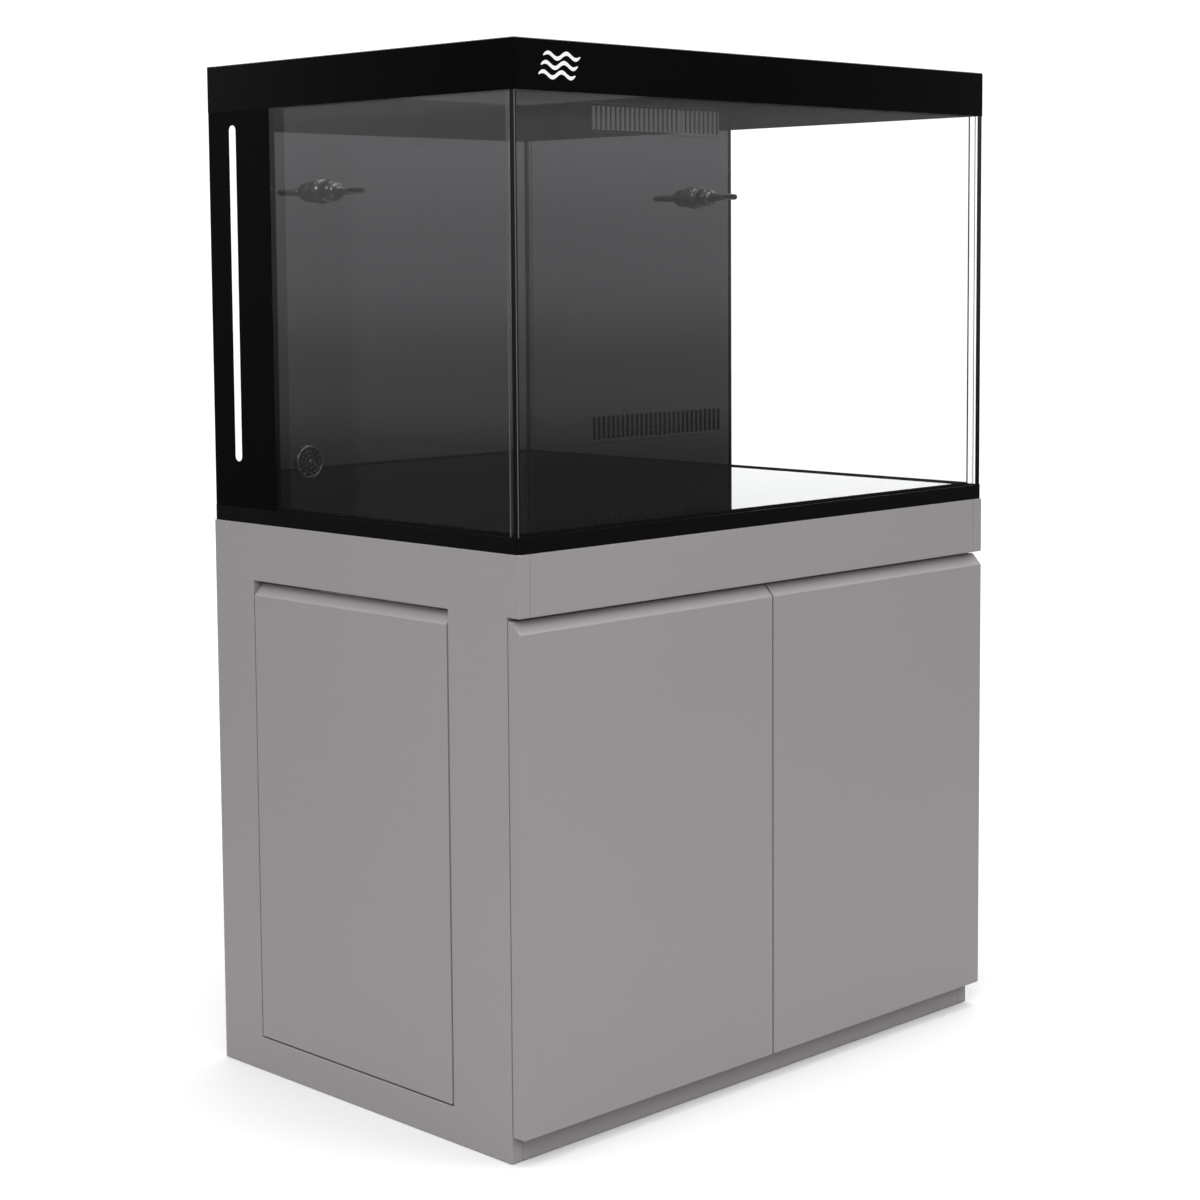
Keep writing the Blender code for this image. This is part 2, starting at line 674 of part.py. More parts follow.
def pipe(name, points, radius, material):
    curve = bpy.data.curves.new(name, "CURVE")
    curve.dimensions = "3D"
    curve.bevel_depth = radius
    curve.bevel_resolution = 3
    curve.use_fill_caps = True
    line = curve.splines.new("POLY")
    line.points.add(len(points) - 1)
    for slot, point in zip(line.points, points):
        slot.co = (*point, 1)
    thing = bpy.data.objects.new(name, curve)
    curve.materials.append(material)
    bpy.context.scene.collection.objects.link(thing)
    return thing


def make_plumbing():
    plastic = MATERIALS["black_plastic"]
    tail = DIVIDER_Y[0] + BULKHEAD_TAIL + TOUCH
    corners = [
        (-NOZZLE_X, tail, NOZZLE_Z),
        (-NOZZLE_X, PIPE_Y, NOZZLE_Z),
        (NOZZLE_X, PIPE_Y, NOZZLE_Z),
        (NOZZLE_X, tail, NOZZLE_Z),
    ]
    pipe("cross_pipe", bent_route(corners, PIPE_BEND), PIPE_RADIUS, plastic)
    riser_top = NOZZLE_Z - PIPE_RADIUS - TOUCH
    riser = [(PUMP_X, PIPE_Y, SPOUT_TOP + TOUCH), (PUMP_X, PIPE_Y, riser_top)]
    pipe("riser_pipe", riser, PIPE_RADIUS, plastic)


def make_pump():
    """A submersible pump, whose impeller turns about Y in a bore behind the slotted cover."""
    plastic = MATERIALS["black_plastic"]
    span_x = (PUMP_X - PUMP_HALF_WIDTH, PUMP_X + PUMP_HALF_WIDTH)
    body = box("pump_body", span_x, PUMP_Y, PUMP_Z, plastic)
    spout_x = (PUMP_X - SPOUT, PUMP_X + SPOUT)
    spout_y = (PIPE_Y - SPOUT, PIPE_Y + SPOUT)
    spout_z = (PUMP_Z[1] - PAST, SPOUT_TOP)
    combine(body, box("pump_spout", spout_x, spout_y, spout_z, plastic), "UNION")
    centre = (PUMP_X, PUMP_Y[0], IMPELLER_Z)
    bore = [round_section(-0.024, PUMP_BORE), round_section(PAST, PUMP_BORE)]
    cut(body, loft("pump_bore", bore, centre, plastic))

    outline = []
    for i in range(BLADES):
        for turn, radius in ((-0.30, 0.006), (-0.12, 0.0175), (0.12, 0.0175), (0.30, 0.006)):
            angle = 2 * math.pi * (i + turn) / BLADES
            outline.append((PUMP_X + radius * math.cos(angle), IMPELLER_Z + radius * math.sin(angle)))
    span_y = (PUMP_Y[0] + 0.004, PUMP_Y[0] + 0.020)
    prism("pump_impeller", outline, "Y", span_y, plastic, (PUMP_X, span_y[0], IMPELLER_Z))

    cover_x = (PUMP_X - COVER_HALF_WIDTH, PUMP_X + COVER_HALF_WIDTH)
    cover_y = (PUMP_Y[0] - COVER_THICKNESS, PUMP_Y[0] - TOUCH)
    cover_z = (IMPELLER_Z - COVER_HALF_HEIGHT, IMPELLER_Z + COVER_HALF_HEIGHT)
    cover = box("pump_cover", cover_x, cover_y, cover_z, plastic)
    intake = [round_section(-2 * PAST, INTAKE_RADIUS), round_section(2 * PAST, INTAKE_RADIUS)]
    cut(cover, loft("pump_intake", intake, centre, plastic))


def make_basket():
    """An open-topped media basket that lifts out of the intake compartment, with its sponge."""
    plastic = MATERIALS["black_plastic"]
    wall = BASKET_WALL
    span_y = (DIVIDER_Y[1] + BASKET_CLEARANCE, PIPE_Y - PIPE_RADIUS - BASKET_CLEARANCE)
    bottom = BASE_GLASS_TOP + TOUCH
    origin = (sum(BASKET_X) / 2, sum(span_y) / 2, bottom)
    basket = box("media_basket", BASKET_X, span_y, (bottom, BASKET_TOP), plastic, origin)
    inner_x = (BASKET_X[0] + wall, BASKET_X[1] - wall)
    inner_y = (span_y[0] + wall, span_y[1] - wall)
    cut(basket, box("basket_hollow", inner_x, inner_y, (bottom + wall, BASKET_TOP + PAST), plastic))
    media_x = (inner_x[0] + TOUCH, inner_x[1] - TOUCH)
    media_y = (inner_y[0] + TOUCH, inner_y[1] - TOUCH)
    sponge_z = (bottom + wall + TOUCH, bottom + SPONGE_HEIGHT)
    box("filter_sponge", media_x, media_y, sponge_z, MATERIALS["sponge"], origin)


clear_scene()
MATERIALS = make_materials()
make_carcass()
make_doors()
make_hinges()
make_catches()
make_base()
make_panes()
make_seams()
make_band()
make_chamber_films()
make_divider()
make_baffles()
for nozzle_side, nozzle_x in (("left", -NOZZLE_X), ("right", NOZZLE_X)):
    make_nozzle(nozzle_side, nozzle_x)
make_plumbing()
make_pump()
make_basket()
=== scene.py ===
"""The looks of the aquarium on stand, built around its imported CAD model.

A glass tank with a black rear filter chamber stands on a lacquered cabinet with three doors.
Metres, +Z up, front towards -Y.
"""

import math

import bmesh
import bpy
from mathutils import Matrix, Vector, noise


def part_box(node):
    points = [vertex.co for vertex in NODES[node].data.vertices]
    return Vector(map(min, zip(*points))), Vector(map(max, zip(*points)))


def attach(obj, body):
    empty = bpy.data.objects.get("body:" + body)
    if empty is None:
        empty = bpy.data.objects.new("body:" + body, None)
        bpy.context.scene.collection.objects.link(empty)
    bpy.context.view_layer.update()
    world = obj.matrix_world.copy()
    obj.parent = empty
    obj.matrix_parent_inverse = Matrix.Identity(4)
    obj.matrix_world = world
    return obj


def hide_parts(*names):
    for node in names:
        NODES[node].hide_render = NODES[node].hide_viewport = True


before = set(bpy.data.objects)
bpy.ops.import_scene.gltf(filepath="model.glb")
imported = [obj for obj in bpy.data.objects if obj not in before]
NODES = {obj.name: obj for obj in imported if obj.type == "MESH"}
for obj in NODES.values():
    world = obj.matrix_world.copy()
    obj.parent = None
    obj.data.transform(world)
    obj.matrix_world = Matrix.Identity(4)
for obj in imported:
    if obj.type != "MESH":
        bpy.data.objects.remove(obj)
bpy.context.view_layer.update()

# Camera
CAMERA_PLACE = Vector((-2.372, -2.379, 1.088))
CAMERA_HEADING = math.radians(44.69)
CAMERA_PITCH = math.radians(5.25)
CAMERA_ROLL = math.radians(-0.41)
CAMERA_LENS = 73.15
CAMERA_SHIFT = -0.1

# Studio: brightness over height (0 straight down, 0.5 level, 1 straight up), a bright wall over
# the cosine to its direction, and the share of light that a low dark strip in front takes away
STUDIO_STRENGTH = 1.6
STUDIO_STOPS = (
    (0.0, 0.10), (0.43, 0.05), (0.455, 0.08), (0.475, 0.20), (0.50, 0.36), (0.53, 0.50), (1.0, 0.60),
)
WALL_DIRECTION = Vector((0.66, 0.74, 0.10)).normalized()
WALL_STOPS = ((0.0, 0.0), (0.955, 0.0), (0.985, 0.62), (1.0, 0.62))
SHADE_STOPS = ((0.0, 0.0), (0.527, 0.0), (0.538, 0.95), (0.60, 0.95), (0.66, 0.0))
BACKDROP = 1.2
FLOOR_RADIUS = 3.4
FLOOR_FADE_START = 1.1
FLOOR_DROP = 0.0006
FLOOR_SHOWN = 0.97
FLOOR_BOUNCE = 0.40

# Name, place, target, size and power of each area light
LIGHTS = (
    ("key", (-3.4, -2.6, 3.2), (0, 0, 1.0), (2.2, 2.2), 88),
    ("front", (1.6, -4.0, 2.6), (0, 0, 1.0), (2.0, 2.0), 28),
    ("top", (0.2, -0.2, 3.6), (0, 0, 0.8), (2.4, 2.4), 40),
)

# Places that the frame gives
PANE_LO, PANE_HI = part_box("front_glass")
RIM = PANE_HI.z
PANE_X = PANE_HI.x
PANE_Y = -PANE_LO.y
INNER_X = -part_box("left_glass")[1].x
INNER_Y = -PANE_HI.y
TRIM_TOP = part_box("base_trim")[1].z
FLOOR_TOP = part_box("floor_panel")[1].z
BAND_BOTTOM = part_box("top_band")[0].z
DIVIDER_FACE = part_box("divider_panel")[0].y

# Axes of flat outlines and plates: local X, Y and Z as world X, Z, Y and as world Y, Z, X
UPRIGHT = Matrix(((1, 0, 0, 0), (0, 0, 1, 0), (0, 1, 0, 0), (0, 0, 0, 1)))
SIDEWAYS = Matrix(((0, 0, 1, 0), (1, 0, 0, 0), (0, 1, 0, 0), (0, 0, 0, 1)))

# Films on the outside of the glass
FILM_GAP = 0.0001
FILM = 0.0004
SAW_CUT = 0.0012
FILM_LAP = 0.006
ARRIS = 0.0009


# Studio

def make_camera():
    flat = math.cos(CAMERA_PITCH)
    forward = Vector((
        math.sin(CAMERA_HEADING) * flat,
        math.cos(CAMERA_HEADING) * flat,
        -math.sin(CAMERA_PITCH),
    ))
    level = forward.cross(Vector((0, 0, 1))).normalized()
    above = level.cross(forward)
    right = math.cos(CAMERA_ROLL) * level + math.sin(CAMERA_ROLL) * above
    up = math.cos(CAMERA_ROLL) * above - math.sin(CAMERA_ROLL) * level
    camera = bpy.data.objects.new("camera", bpy.data.cameras.new("camera"))
    camera.data.lens = CAMERA_LENS
    camera.data.sensor_width = 36
    camera.data.shift_y = CAMERA_SHIFT
    place = Matrix((right, up, -forward)).transposed().to_4x4()
    place.translation = CAMERA_PLACE
    camera.matrix_world = place
    bpy.context.scene.collection.objects.link(camera)
    bpy.context.scene.camera = camera


def ramp_node(tree, stops):
    """A colour ramp of greys from (position, value) stops."""
    ramp = tree.nodes.new("ShaderNodeValToRGB")
    elements = ramp.color_ramp.elements
    while len(elements) < len(stops):
        elements.new(0.5)
    for element, (position, value) in zip(elements, stops):
        element.position = position
        element.color = (value, value, value, 1)
    return ramp


def math_node(tree, operation, first, second):
    node = tree.nodes.new("ShaderNodeMath")
    node.operation = operation
    for socket, value in zip(node.inputs, (first, second)):
        if isinstance(value, bpy.types.NodeSocket):
            tree.links.new(value, socket)
        else:
            socket.default_value = value
    return node.outputs["Value"]


def make_world():
    """A white backdrop, and a soft studio for light and reflections: dim low down, bright above.

    A bright wall stands behind the right side, and a dark strip runs low along the front.
    """
    world = bpy.data.worlds.new("studio")
    bpy.context.scene.world = world
    world.use_nodes = True
    tree = world.node_tree
    tree.nodes.clear()
    link = tree.links.new
    direction = tree.nodes.new("ShaderNodeTexCoord").outputs["Generated"]
    split = tree.nodes.new("ShaderNodeSeparateXYZ")
    link(direction, split.inputs["Vector"])
    height = math_node(tree, "MULTIPLY_ADD", split.outputs["Z"], 0.5)
    height.node.inputs[2].default_value = 0.5
    studio = ramp_node(tree, STUDIO_STOPS)
    studio.color_ramp.interpolation = "EASE"
    link(height, studio.inputs["Fac"])
    facing = tree.nodes.new("ShaderNodeVectorMath")
    facing.operation = "DOT_PRODUCT"
    facing.inputs[1].default_value = WALL_DIRECTION
    link(direction, facing.inputs[0])
    wall = ramp_node(tree, WALL_STOPS)
    wall.color_ramp.interpolation = "EASE"
    link(facing.outputs["Value"], wall.inputs["Fac"])
    total = math_node(tree, "ADD", studio.outputs["Color"], wall.outputs["Color"])
    shade = ramp_node(tree, SHADE_STOPS)
    link(height, shade.inputs["Fac"])
    in_front = math_node(tree, "MULTIPLY_ADD", split.outputs["Y"], -4.0)
    in_front.node.inputs[2].default_value = -0.4
    in_front.node.use_clamp = True
    taken = math_node(tree, "MULTIPLY", shade.outputs["Color"], in_front)
    left_over = math_node(tree, "SUBTRACT", 1.0, taken)
    strength = math_node(tree, "MULTIPLY", total, STUDIO_STRENGTH)
    strength = math_node(tree, "MULTIPLY", strength, left_over)
    shown = tree.nodes.new("ShaderNodeBackground")
    shown.inputs["Color"].default_value = (1, 1, 1, 1)
    shown.inputs["Strength"].default_value = BACKDROP
    light = tree.nodes.new("ShaderNodeBackground")
    light.inputs["Color"].default_value = (1, 1, 1, 1)
    link(strength, light.inputs["Strength"])
    rays = tree.nodes.new("ShaderNodeLightPath")
    mix = tree.nodes.new("ShaderNodeMixShader")
    link(rays.outputs["Is Camera Ray"], mix.inputs["Fac"])
    link(light.outputs["Background"], mix.inputs[1])
    link(shown.outputs["Background"], mix.inputs[2])
    output = tree.nodes.new("ShaderNodeOutputWorld")
    link(mix.outputs["Shader"], output.inputs["Surface"])


def make_light(name, place, target, size, power):
    data = bpy.data.lights.new(name, "AREA")
    data.shape = "RECTANGLE"
    data.size, data.size_y = size
    data.energy = power
    light = bpy.data.objects.new(name, data)
    light.location = place
    aim = Vector(target) - Vector(place)
    light.rotation_euler = aim.to_track_quat("-Z", "Y").to_euler()
    bpy.context.scene.collection.objects.link(light)


def make_studio():
    bpy.context.scene.view_settings.view_transform = "Standard"
    make_camera()
    make_world()
    for light in LIGHTS:
        make_light(*light)


def make_floor():
    """A white floor that fades into the backdrop. It bounces back less light than it shows."""
    shape = bmesh.new()
    bmesh.ops.create_circle(shape, cap_ends=True, radius=FLOOR_RADIUS, segments=96)
    mesh = bpy.data.meshes.new("floor")
    shape.to_mesh(mesh)
    shape.free()
    floor = bpy.data.objects.new("floor", mesh)
    floor.location.z = -FLOOR_DROP
    bpy.context.scene.collection.objects.link(floor)
    material = bpy.data.materials.new("floor")
    material.use_nodes = True
    tree = material.node_tree
    shader = tree.nodes["Principled BSDF"]
    shader.inputs["Roughness"].default_value = 0.9
    shader.inputs["Specular IOR Level"].default_value = 0.0
    rays = tree.nodes.new("ShaderNodeLightPath")
    paper = tree.nodes.new("ShaderNodeMix")
    paper.data_type = "RGBA"
    paper.inputs["A"].default_value = (FLOOR_BOUNCE, FLOOR_BOUNCE, FLOOR_BOUNCE, 1)
    paper.inputs["B"].default_value = (FLOOR_SHOWN, FLOOR_SHOWN, FLOOR_SHOWN, 1)
    tree.links.new(rays.outputs["Is Camera Ray"], paper.inputs["Factor"])
    tree.links.new(paper.outputs["Result"], shader.inputs["Base Color"])
    coords = tree.nodes.new("ShaderNodeTexCoord")
    far = tree.nodes.new("ShaderNodeVectorMath")
    far.operation = "LENGTH"
    tree.links.new(coords.outputs["Object"], far.inputs[0])
    fade = tree.nodes.new("ShaderNodeMapRange")
    fade.interpolation_type = "SMOOTHSTEP"
    fade.inputs["From Min"].default_value = FLOOR_FADE_START
    fade.inputs["From Max"].default_value = FLOOR_RADIUS - 0.1
    tree.links.new(far.outputs["Value"], fade.inputs["Value"])
    clear = tree.nodes.new("ShaderNodeBsdfTransparent")
    mix = tree.nodes.new("ShaderNodeMixShader")
    tree.links.new(fade.outputs["Result"], mix.inputs["Fac"])
    tree.links.new(shader.outputs["BSDF"], mix.inputs[1])
    tree.links.new(clear.outputs["BSDF"], mix.inputs[2])
    tree.links.new(mix.outputs["Shader"], tree.nodes["Material Output"].inputs["Surface"])
    mesh.materials.append(material)


# Materials

def noise_node(tree, coords, scale, detail=2.0, stretch=(1, 1, 1)):
    mapping = tree.nodes.new("ShaderNodeMapping")
    mapping.inputs["Scale"].default_value = stretch
    tree.links.new(coords, mapping.inputs["Vector"])
    pattern = tree.nodes.new("ShaderNodeTexNoise")
    pattern.inputs["Scale"].default_value = scale
    pattern.inputs["Detail"].default_value = detail
    tree.links.new(mapping.outputs["Vector"], pattern.inputs["Vector"])
    return pattern.outputs["Fac"]


def surface(
    name, color, roughness, metallic=0.0, specular=0.5, coat=0.0,
    drift=(4.0, 0.04), spread=(60.0, 0.05), grain=(900.0, 0.00001), stretch=(1, 1, 1), painted_glow=0.0,
    tint=(1, 1, 1),
):
    """A Principled material whose colour drifts softly, with an uneven gloss and a fine bump.

    drift and spread are (noise scale, share or amount), and grain is (noise scale, depth).
    The emission strength is painted light that stands in for the light shining through a thin pale sheet.
    tint colours the reflections.
    """
    material = bpy.data.materials.new(name)
    material.use_nodes = True
    tree = material.node_tree
    shader = tree.nodes["Principled BSDF"]
    shader.inputs["Metallic"].default_value = metallic
    shader.inputs["Specular IOR Level"].default_value = specular
    shader.inputs["Specular Tint"].default_value = (*tint, 1)
    shader.inputs["Coat Weight"].default_value = coat
    shader.inputs["Coat Roughness"].default_value = 0.12
    # Painted light: emission in the surface's own colour, a glow without a lamp
    shader.inputs["Emission Color"].default_value = (*color, 1)
    shader.inputs["Emission Strength"].default_value = painted_glow
    coords = tree.nodes.new("ShaderNodeTexCoord").outputs["Object"]
    mix = tree.nodes.new("ShaderNodeMix")
    mix.data_type = "RGBA"
    share = drift[1]
    mix.inputs["A"].default_value = (*[c * (1 - share) for c in color], 1)
    mix.inputs["B"].default_value = (*[c * (1 + share) for c in color], 1)
    tree.links.new(noise_node(tree, coords, drift[0], 3.0), mix.inputs["Factor"])
    tree.links.new(mix.outputs["Result"], shader.inputs["Base Color"])
    gloss = tree.nodes.new("ShaderNodeMapRange")
    gloss.inputs["To Min"].default_value = max(0.0, roughness - spread[1])
    gloss.inputs["To Max"].default_value = roughness + spread[1]
    tree.links.new(noise_node(tree, coords, spread[0], 2.0, stretch), gloss.inputs["Value"])
    tree.links.new(gloss.outputs["Result"], shader.inputs["Roughness"])
    bump = tree.nodes.new("ShaderNodeBump")
    bump.inputs["Distance"].default_value = grain[1]
    tree.links.new(noise_node(tree, coords, grain[0], 2.0, stretch), bump.inputs["Height"])
    tree.links.new(bump.outputs["Normal"], shader.inputs["Normal"])
    return material


def sponge_surface(name, color, cell, depth):
    """Open-cell foam: pits between cell walls, with painted shade that darkens the pits and lightens the
    raised parts.
    """
    material = surface(name, color, 0.95, specular=0.1)
    tree = material.node_tree
    coords = tree.nodes.new("ShaderNodeTexCoord").outputs["Object"]
    cells = tree.nodes.new("ShaderNodeTexVoronoi")
    cells.inputs["Scale"].default_value = 1 / cell
    tree.links.new(coords, cells.inputs["Vector"])
    bump = tree.nodes.new("ShaderNodeBump")
    bump.inputs["Distance"].default_value = depth
    bump.invert = True
    tree.links.new(cells.outputs["Distance"], bump.inputs["Height"])
    shader = tree.nodes["Principled BSDF"]
    tree.links.new(bump.outputs["Normal"], shader.inputs["Normal"])
    # Painted shade: the colour darkens with the bump's depth and lightens where the bump stands high
    shade = tree.nodes.new("ShaderNodeMix")
    shade.data_type = "RGBA"
    shade.inputs["A"].default_value = (*[c * 1.5 for c in color], 1)
    shade.inputs["B"].default_value = (*[c * 0.3 for c in color], 1)
    tree.links.new(cells.outputs["Distance"], shade.inputs["Factor"])
    tree.links.new(shade.outputs["Result"], shader.inputs["Base Color"])
    return material


def glass_surface():
    """Clear low-iron glass: a thin reflection that grows towards grazing angles, over a clear body."""
    material = bpy.data.materials.new("clear_glass")
    material.use_nodes = True
    tree = material.node_tree
    shader = tree.nodes["Principled BSDF"]
    shader.inputs["Base Color"].default_value = (1, 1, 1, 1)
    shader.inputs["Metallic"].default_value = 1.0
    coords = tree.nodes.new("ShaderNodeTexCoord").outputs["Object"]
    smear = tree.nodes.new("ShaderNodeMapRange")
    smear.inputs["To Min"].default_value = 0.0
    smear.inputs["To Max"].default_value = 0.035
    tree.links.new(noise_node(tree, coords, 9.0, 4.0), smear.inputs["Value"])
    tree.links.new(smear.outputs["Result"], shader.inputs["Roughness"])
    clear = tree.nodes.new("ShaderNodeBsdfTransparent")
    clear.inputs["Color"].default_value = (0.994, 0.998, 0.996, 1)
    weight = tree.nodes.new("ShaderNodeLayerWeight")
    weight.inputs["Blend"].default_value = 0.5
    grazing = math_node(tree, "POWER", weight.outputs["Facing"], 5.0)
    share = math_node(tree, "MULTIPLY_ADD", grazing, 0.97)
    share.node.inputs[2].default_value = 0.03
    mix = tree.nodes.new("ShaderNodeMixShader")
    tree.links.new(share, mix.inputs["Fac"])
    tree.links.new(clear.outputs["BSDF"], mix.inputs[1])
    tree.links.new(shader.outputs["BSDF"], mix.inputs[2])
    tree.links.new(mix.outputs["Shader"], tree.nodes["Material Output"].inputs["Surface"])
    return material


COOL = (0.93, 0.93, 1.0)


def make_materials():
    black = (0.0014, 0.0014, 0.0014)
    return {
        "cabinet_paint": surface(
            "satin_lacquer", (0.350, 0.329, 0.334), 0.42,
            drift=(2.2, 0.025), spread=(45.0, 0.04), grain=(620.0, 0.000012),
        ),
        "hinge_steel": surface(
            "nickel_steel", (0.62, 0.61, 0.59), 0.27, metallic=1.0,
            drift=(30.0, 0.05), spread=(300.0, 0.08), grain=(1500.0, 0.000006), stretch=(1, 6, 1),
        ),
        "catch_plastic": surface("grey_plastic", (0.42, 0.42, 0.42), 0.5, drift=(40.0, 0.03)),
        "magnet": surface("dark_steel", (0.20, 0.20, 0.21), 0.35, metallic=1.0),
        "clear_bumper": surface("bumper_rubber", (0.55, 0.56, 0.55), 0.25, coat=0.4),
        "trim_plastic": surface(
            "trim_plastic", (0.002, 0.002, 0.002), 0.42, specular=0.08,
            drift=(20.0, 0.1), grain=(2400.0, 0.000008),
        ),
        # Painted shade in the foam's pits, from sponge_surface
        "foam": sponge_surface("mat_foam", (0.02, 0.02, 0.02), 0.0011, 0.0004),
        "glass": glass_surface(),
        "glass_edge": surface("glass_edge", (0.003, 0.005, 0.0045), 0.2, specular=0.15, drift=(25, 0.25)),
        "glass_arris": surface("glass_arris", (0.10, 0.11, 0.11), 0.4, specular=0.3, drift=(90, 0.2)),
        "glass_rim": surface("glass_rim", (0.10, 0.15, 0.135), 0.12, coat=0.5, drift=(14, 0.25)),
        "black_glass": surface(
            "black_glass", (0.0050, 0.0050, 0.0062), 0.022, specular=1.0, tint=COOL,
            drift=(3.0, 0.25), spread=(5.0, 0.004), grain=(8.0, 0.00001),
        ),
        "floor_glass": surface(
            "floor_glass", (0.0045, 0.0045, 0.0050), 0.04, specular=0.5, tint=COOL,
            drift=(3.0, 0.25), spread=(5.0, 0.006), grain=(8.0, 0.00001),
        ),
        "black_film": surface(
            "black_film", black, 0.42, specular=0.03, drift=(5.0, 0.2), grain=(1200.0, 0.000006),
        ),
        "silicone": surface(
            "black_silicone", (0.003, 0.003, 0.003), 0.5, specular=0.06, drift=(30.0, 0.2),
            grain=(160.0, 0.00006),
        ),
        # Painted light: the level window strip glows, standing in for light shining through it
        "window_acrylic": surface(
            "window_acrylic", (0.93, 0.94, 0.94), 0.22, coat=0.3, drift=(18, 0.02), painted_glow=0.45,
        ),
        # Painted light: a faint glow brightens the white badge
        "white_vinyl": surface("white_vinyl", (0.93, 0.93, 0.93), 0.4, drift=(25, 0.02), painted_glow=0.12),
        "black_plastic": surface(
            "moulded_plastic", (0.014, 0.014, 0.015), 0.24, drift=(30.0, 0.12), spread=(90.0, 0.06),
            grain=(1500.0, 0.000008),
        ),
        "comb_plastic": surface(
            "comb_plastic", (0.080, 0.080, 0.084), 0.2, drift=(30.0, 0.12), spread=(90.0, 0.06),
            grain=(1500.0, 0.000006),
        ),
        "gloss_plastic": surface(
            "gloss_plastic", (0.006, 0.006, 0.0065), 0.11, coat=0.6, drift=(30.0, 0.12),
            spread=(90.0, 0.04), grain=(1500.0, 0.000004),
        ),
        # Painted shade in the sponge's pits, from sponge_surface
        "sponge": sponge_surface("filter_sponge", (0.035, 0.05, 0.085), 0.0024, 0.0012),
    }


# Mesh tools

def add_box(shape, x, y, z):
    """Adds a box between three (low, high) pairs, and returns its faces."""
    size = Matrix.Diagonal((x[1] - x[0], y[1] - y[0], z[1] - z[0], 1))
    centre = Matrix.Translation(((x[0] + x[1]) / 2, (y[0] + y[1]) / 2, (z[0] + z[1]) / 2))
    made = bmesh.ops.create_cube(shape, size=1, matrix=centre @ size)
    return {face for vertex in made["verts"] for face in vertex.link_faces}


def skin(shape, rings):
    """Joins each ring of vertices to the next with a band of faces."""
    for ring, following in zip(rings, rings[1:]):
        for i in range(len(ring)):
            j = (i + 1) % len(ring)
            shape.faces.new((ring[i], ring[j], following[j], following[i]))


def add_loop(shape, points, close):
    """Skins rings of points that follow each other. It caps the ends, or closes the run into a ring."""
    rings = [[shape.verts.new(point) for point in ring] for ring in points]
    if close:
        skin(shape, rings + rings[:1])
    else:
        shape.faces.new(rings[0])
        shape.faces.new(rings[-1][::-1])
        skin(shape, rings)


def add_turned(shape, profile, matrix, close=False, sides=48, ribs=0):
    """Turns (radius, height) points about the matrix's Z axis. A third value is the depth of ribs."""
    rings = []
    for radius, height, *rib in profile:
        depth = rib[0] if rib else 0.0
        ring = []
        for i in range(sides):
            angle = 2 * math.pi * i / sides
            reach = radius - depth * (0.5 - 0.5 * math.cos(ribs * angle))
            ring.append(matrix @ Vector((reach * math.cos(angle), reach * math.sin(angle), height)))
        rings.append(ring)
    add_loop(shape, rings, close)


def add_extruded(shape, outline, span, matrix):
    """Extrudes a flat outline of (x, y) points over a (low, high) range of the matrix's Z axis."""
    rings = [[matrix @ Vector((x, y, along)) for x, y in outline] for along in span]
    add_loop(shape, rings, False)


def add_tube(shape, points, radius, sides=16):
    """A round bar along a flat bent route, with flat ends."""
    points = [Vector(point) for point in points]
    across = (points[1] - points[0]).cross(points[-1] - points[1]).normalized()
    rings = []
    for before, point, after in zip(points[:1] + points, points, points[1:] + points[-1:]):
        along = (after - before).normalized()
        beside = along.cross(across)
        ring = []
        for i in range(sides):
            angle = 2 * math.pi * i / sides
            ring.append(point + radius * (math.cos(angle) * across + math.sin(angle) * beside))
        rings.append(ring)
    add_loop(shape, rings, False)


def add_lattice(shape, u, v, depth, solid, matrix):
    """A flat plate of cells between its u lines and v lines, open wherever solid(i, j) is false."""
    corners = {}
    columns, rows = len(u) - 1, len(v) - 1

    def corner(i, j, side):
        if (i, j, side) not in corners:
            corners[i, j, side] = shape.verts.new(matrix @ Vector((u[i], v[j], depth[side])))
        return corners[i, j, side]

    def filled(i, j):
        return 0 <= i < columns and 0 <= j < rows and solid(i, j)

    for i in range(columns):
        for j in range(rows):
            if not solid(i, j):
                continue
            ring = ((i, j), (i + 1, j), (i + 1, j + 1), (i, j + 1))
            beside = ((i, j - 1), (i + 1, j), (i, j + 1), (i - 1, j))
            for side in (0, 1):
                shape.faces.new([corner(*place, side) for place in ring])
            for k, neighbour in enumerate(beside):
                if not filled(*neighbour):
                    start, end = ring[k], ring[(k + 1) % 4]
                    low_side = (corner(*start, 0), corner(*end, 0))
                    high_side = (corner(*end, 1), corner(*start, 1))
                    shape.faces.new(low_side + high_side)


def slot_lines(low, high, border, pitch, slot):
    """The lines of a plate edge, its border, then slots and bars in turn, and the border again."""
    count = int((high - low - 2 * border) / pitch)
    first = (low + high) / 2 - (count - 1) / 2 * pitch
    lines = [low]
    for i in range(count):
        lines.extend((first + i * pitch - slot / 2, first + i * pitch + slot / 2))
    return lines + [high]


def add_soft_block(shape, low, high, radius, cuts, dent, scale):
    """A block with round edges and softly dented faces."""
    made = bmesh.ops.create_cube(shape, size=1)
    for vertex in made["verts"]:
        for axis in range(3):
            vertex.co[axis] = high[axis] if vertex.co[axis] > 0 else low[axis]
    bmesh.ops.subdivide_edges(shape, edges=shape.edges[:], cuts=cuts, use_grid_fill=True)
    for vertex in shape.verts:
        core = Vector([min(max(vertex.co[a], low[a] + radius), high[a] - radius) for a in range(3)])
        outward = (vertex.co - core).normalized()
        hollow = dent * (0.5 + 0.5 * noise.noise(vertex.co * scale))
        vertex.co = core + outward * (radius - hollow)


def facing(direction, place):
    """A matrix whose Z axis points along a direction, with its origin at a place."""
    turn = Vector(direction).to_track_quat("Z", "Y").to_matrix().to_4x4()
    return Matrix.Translation(place) @ turn


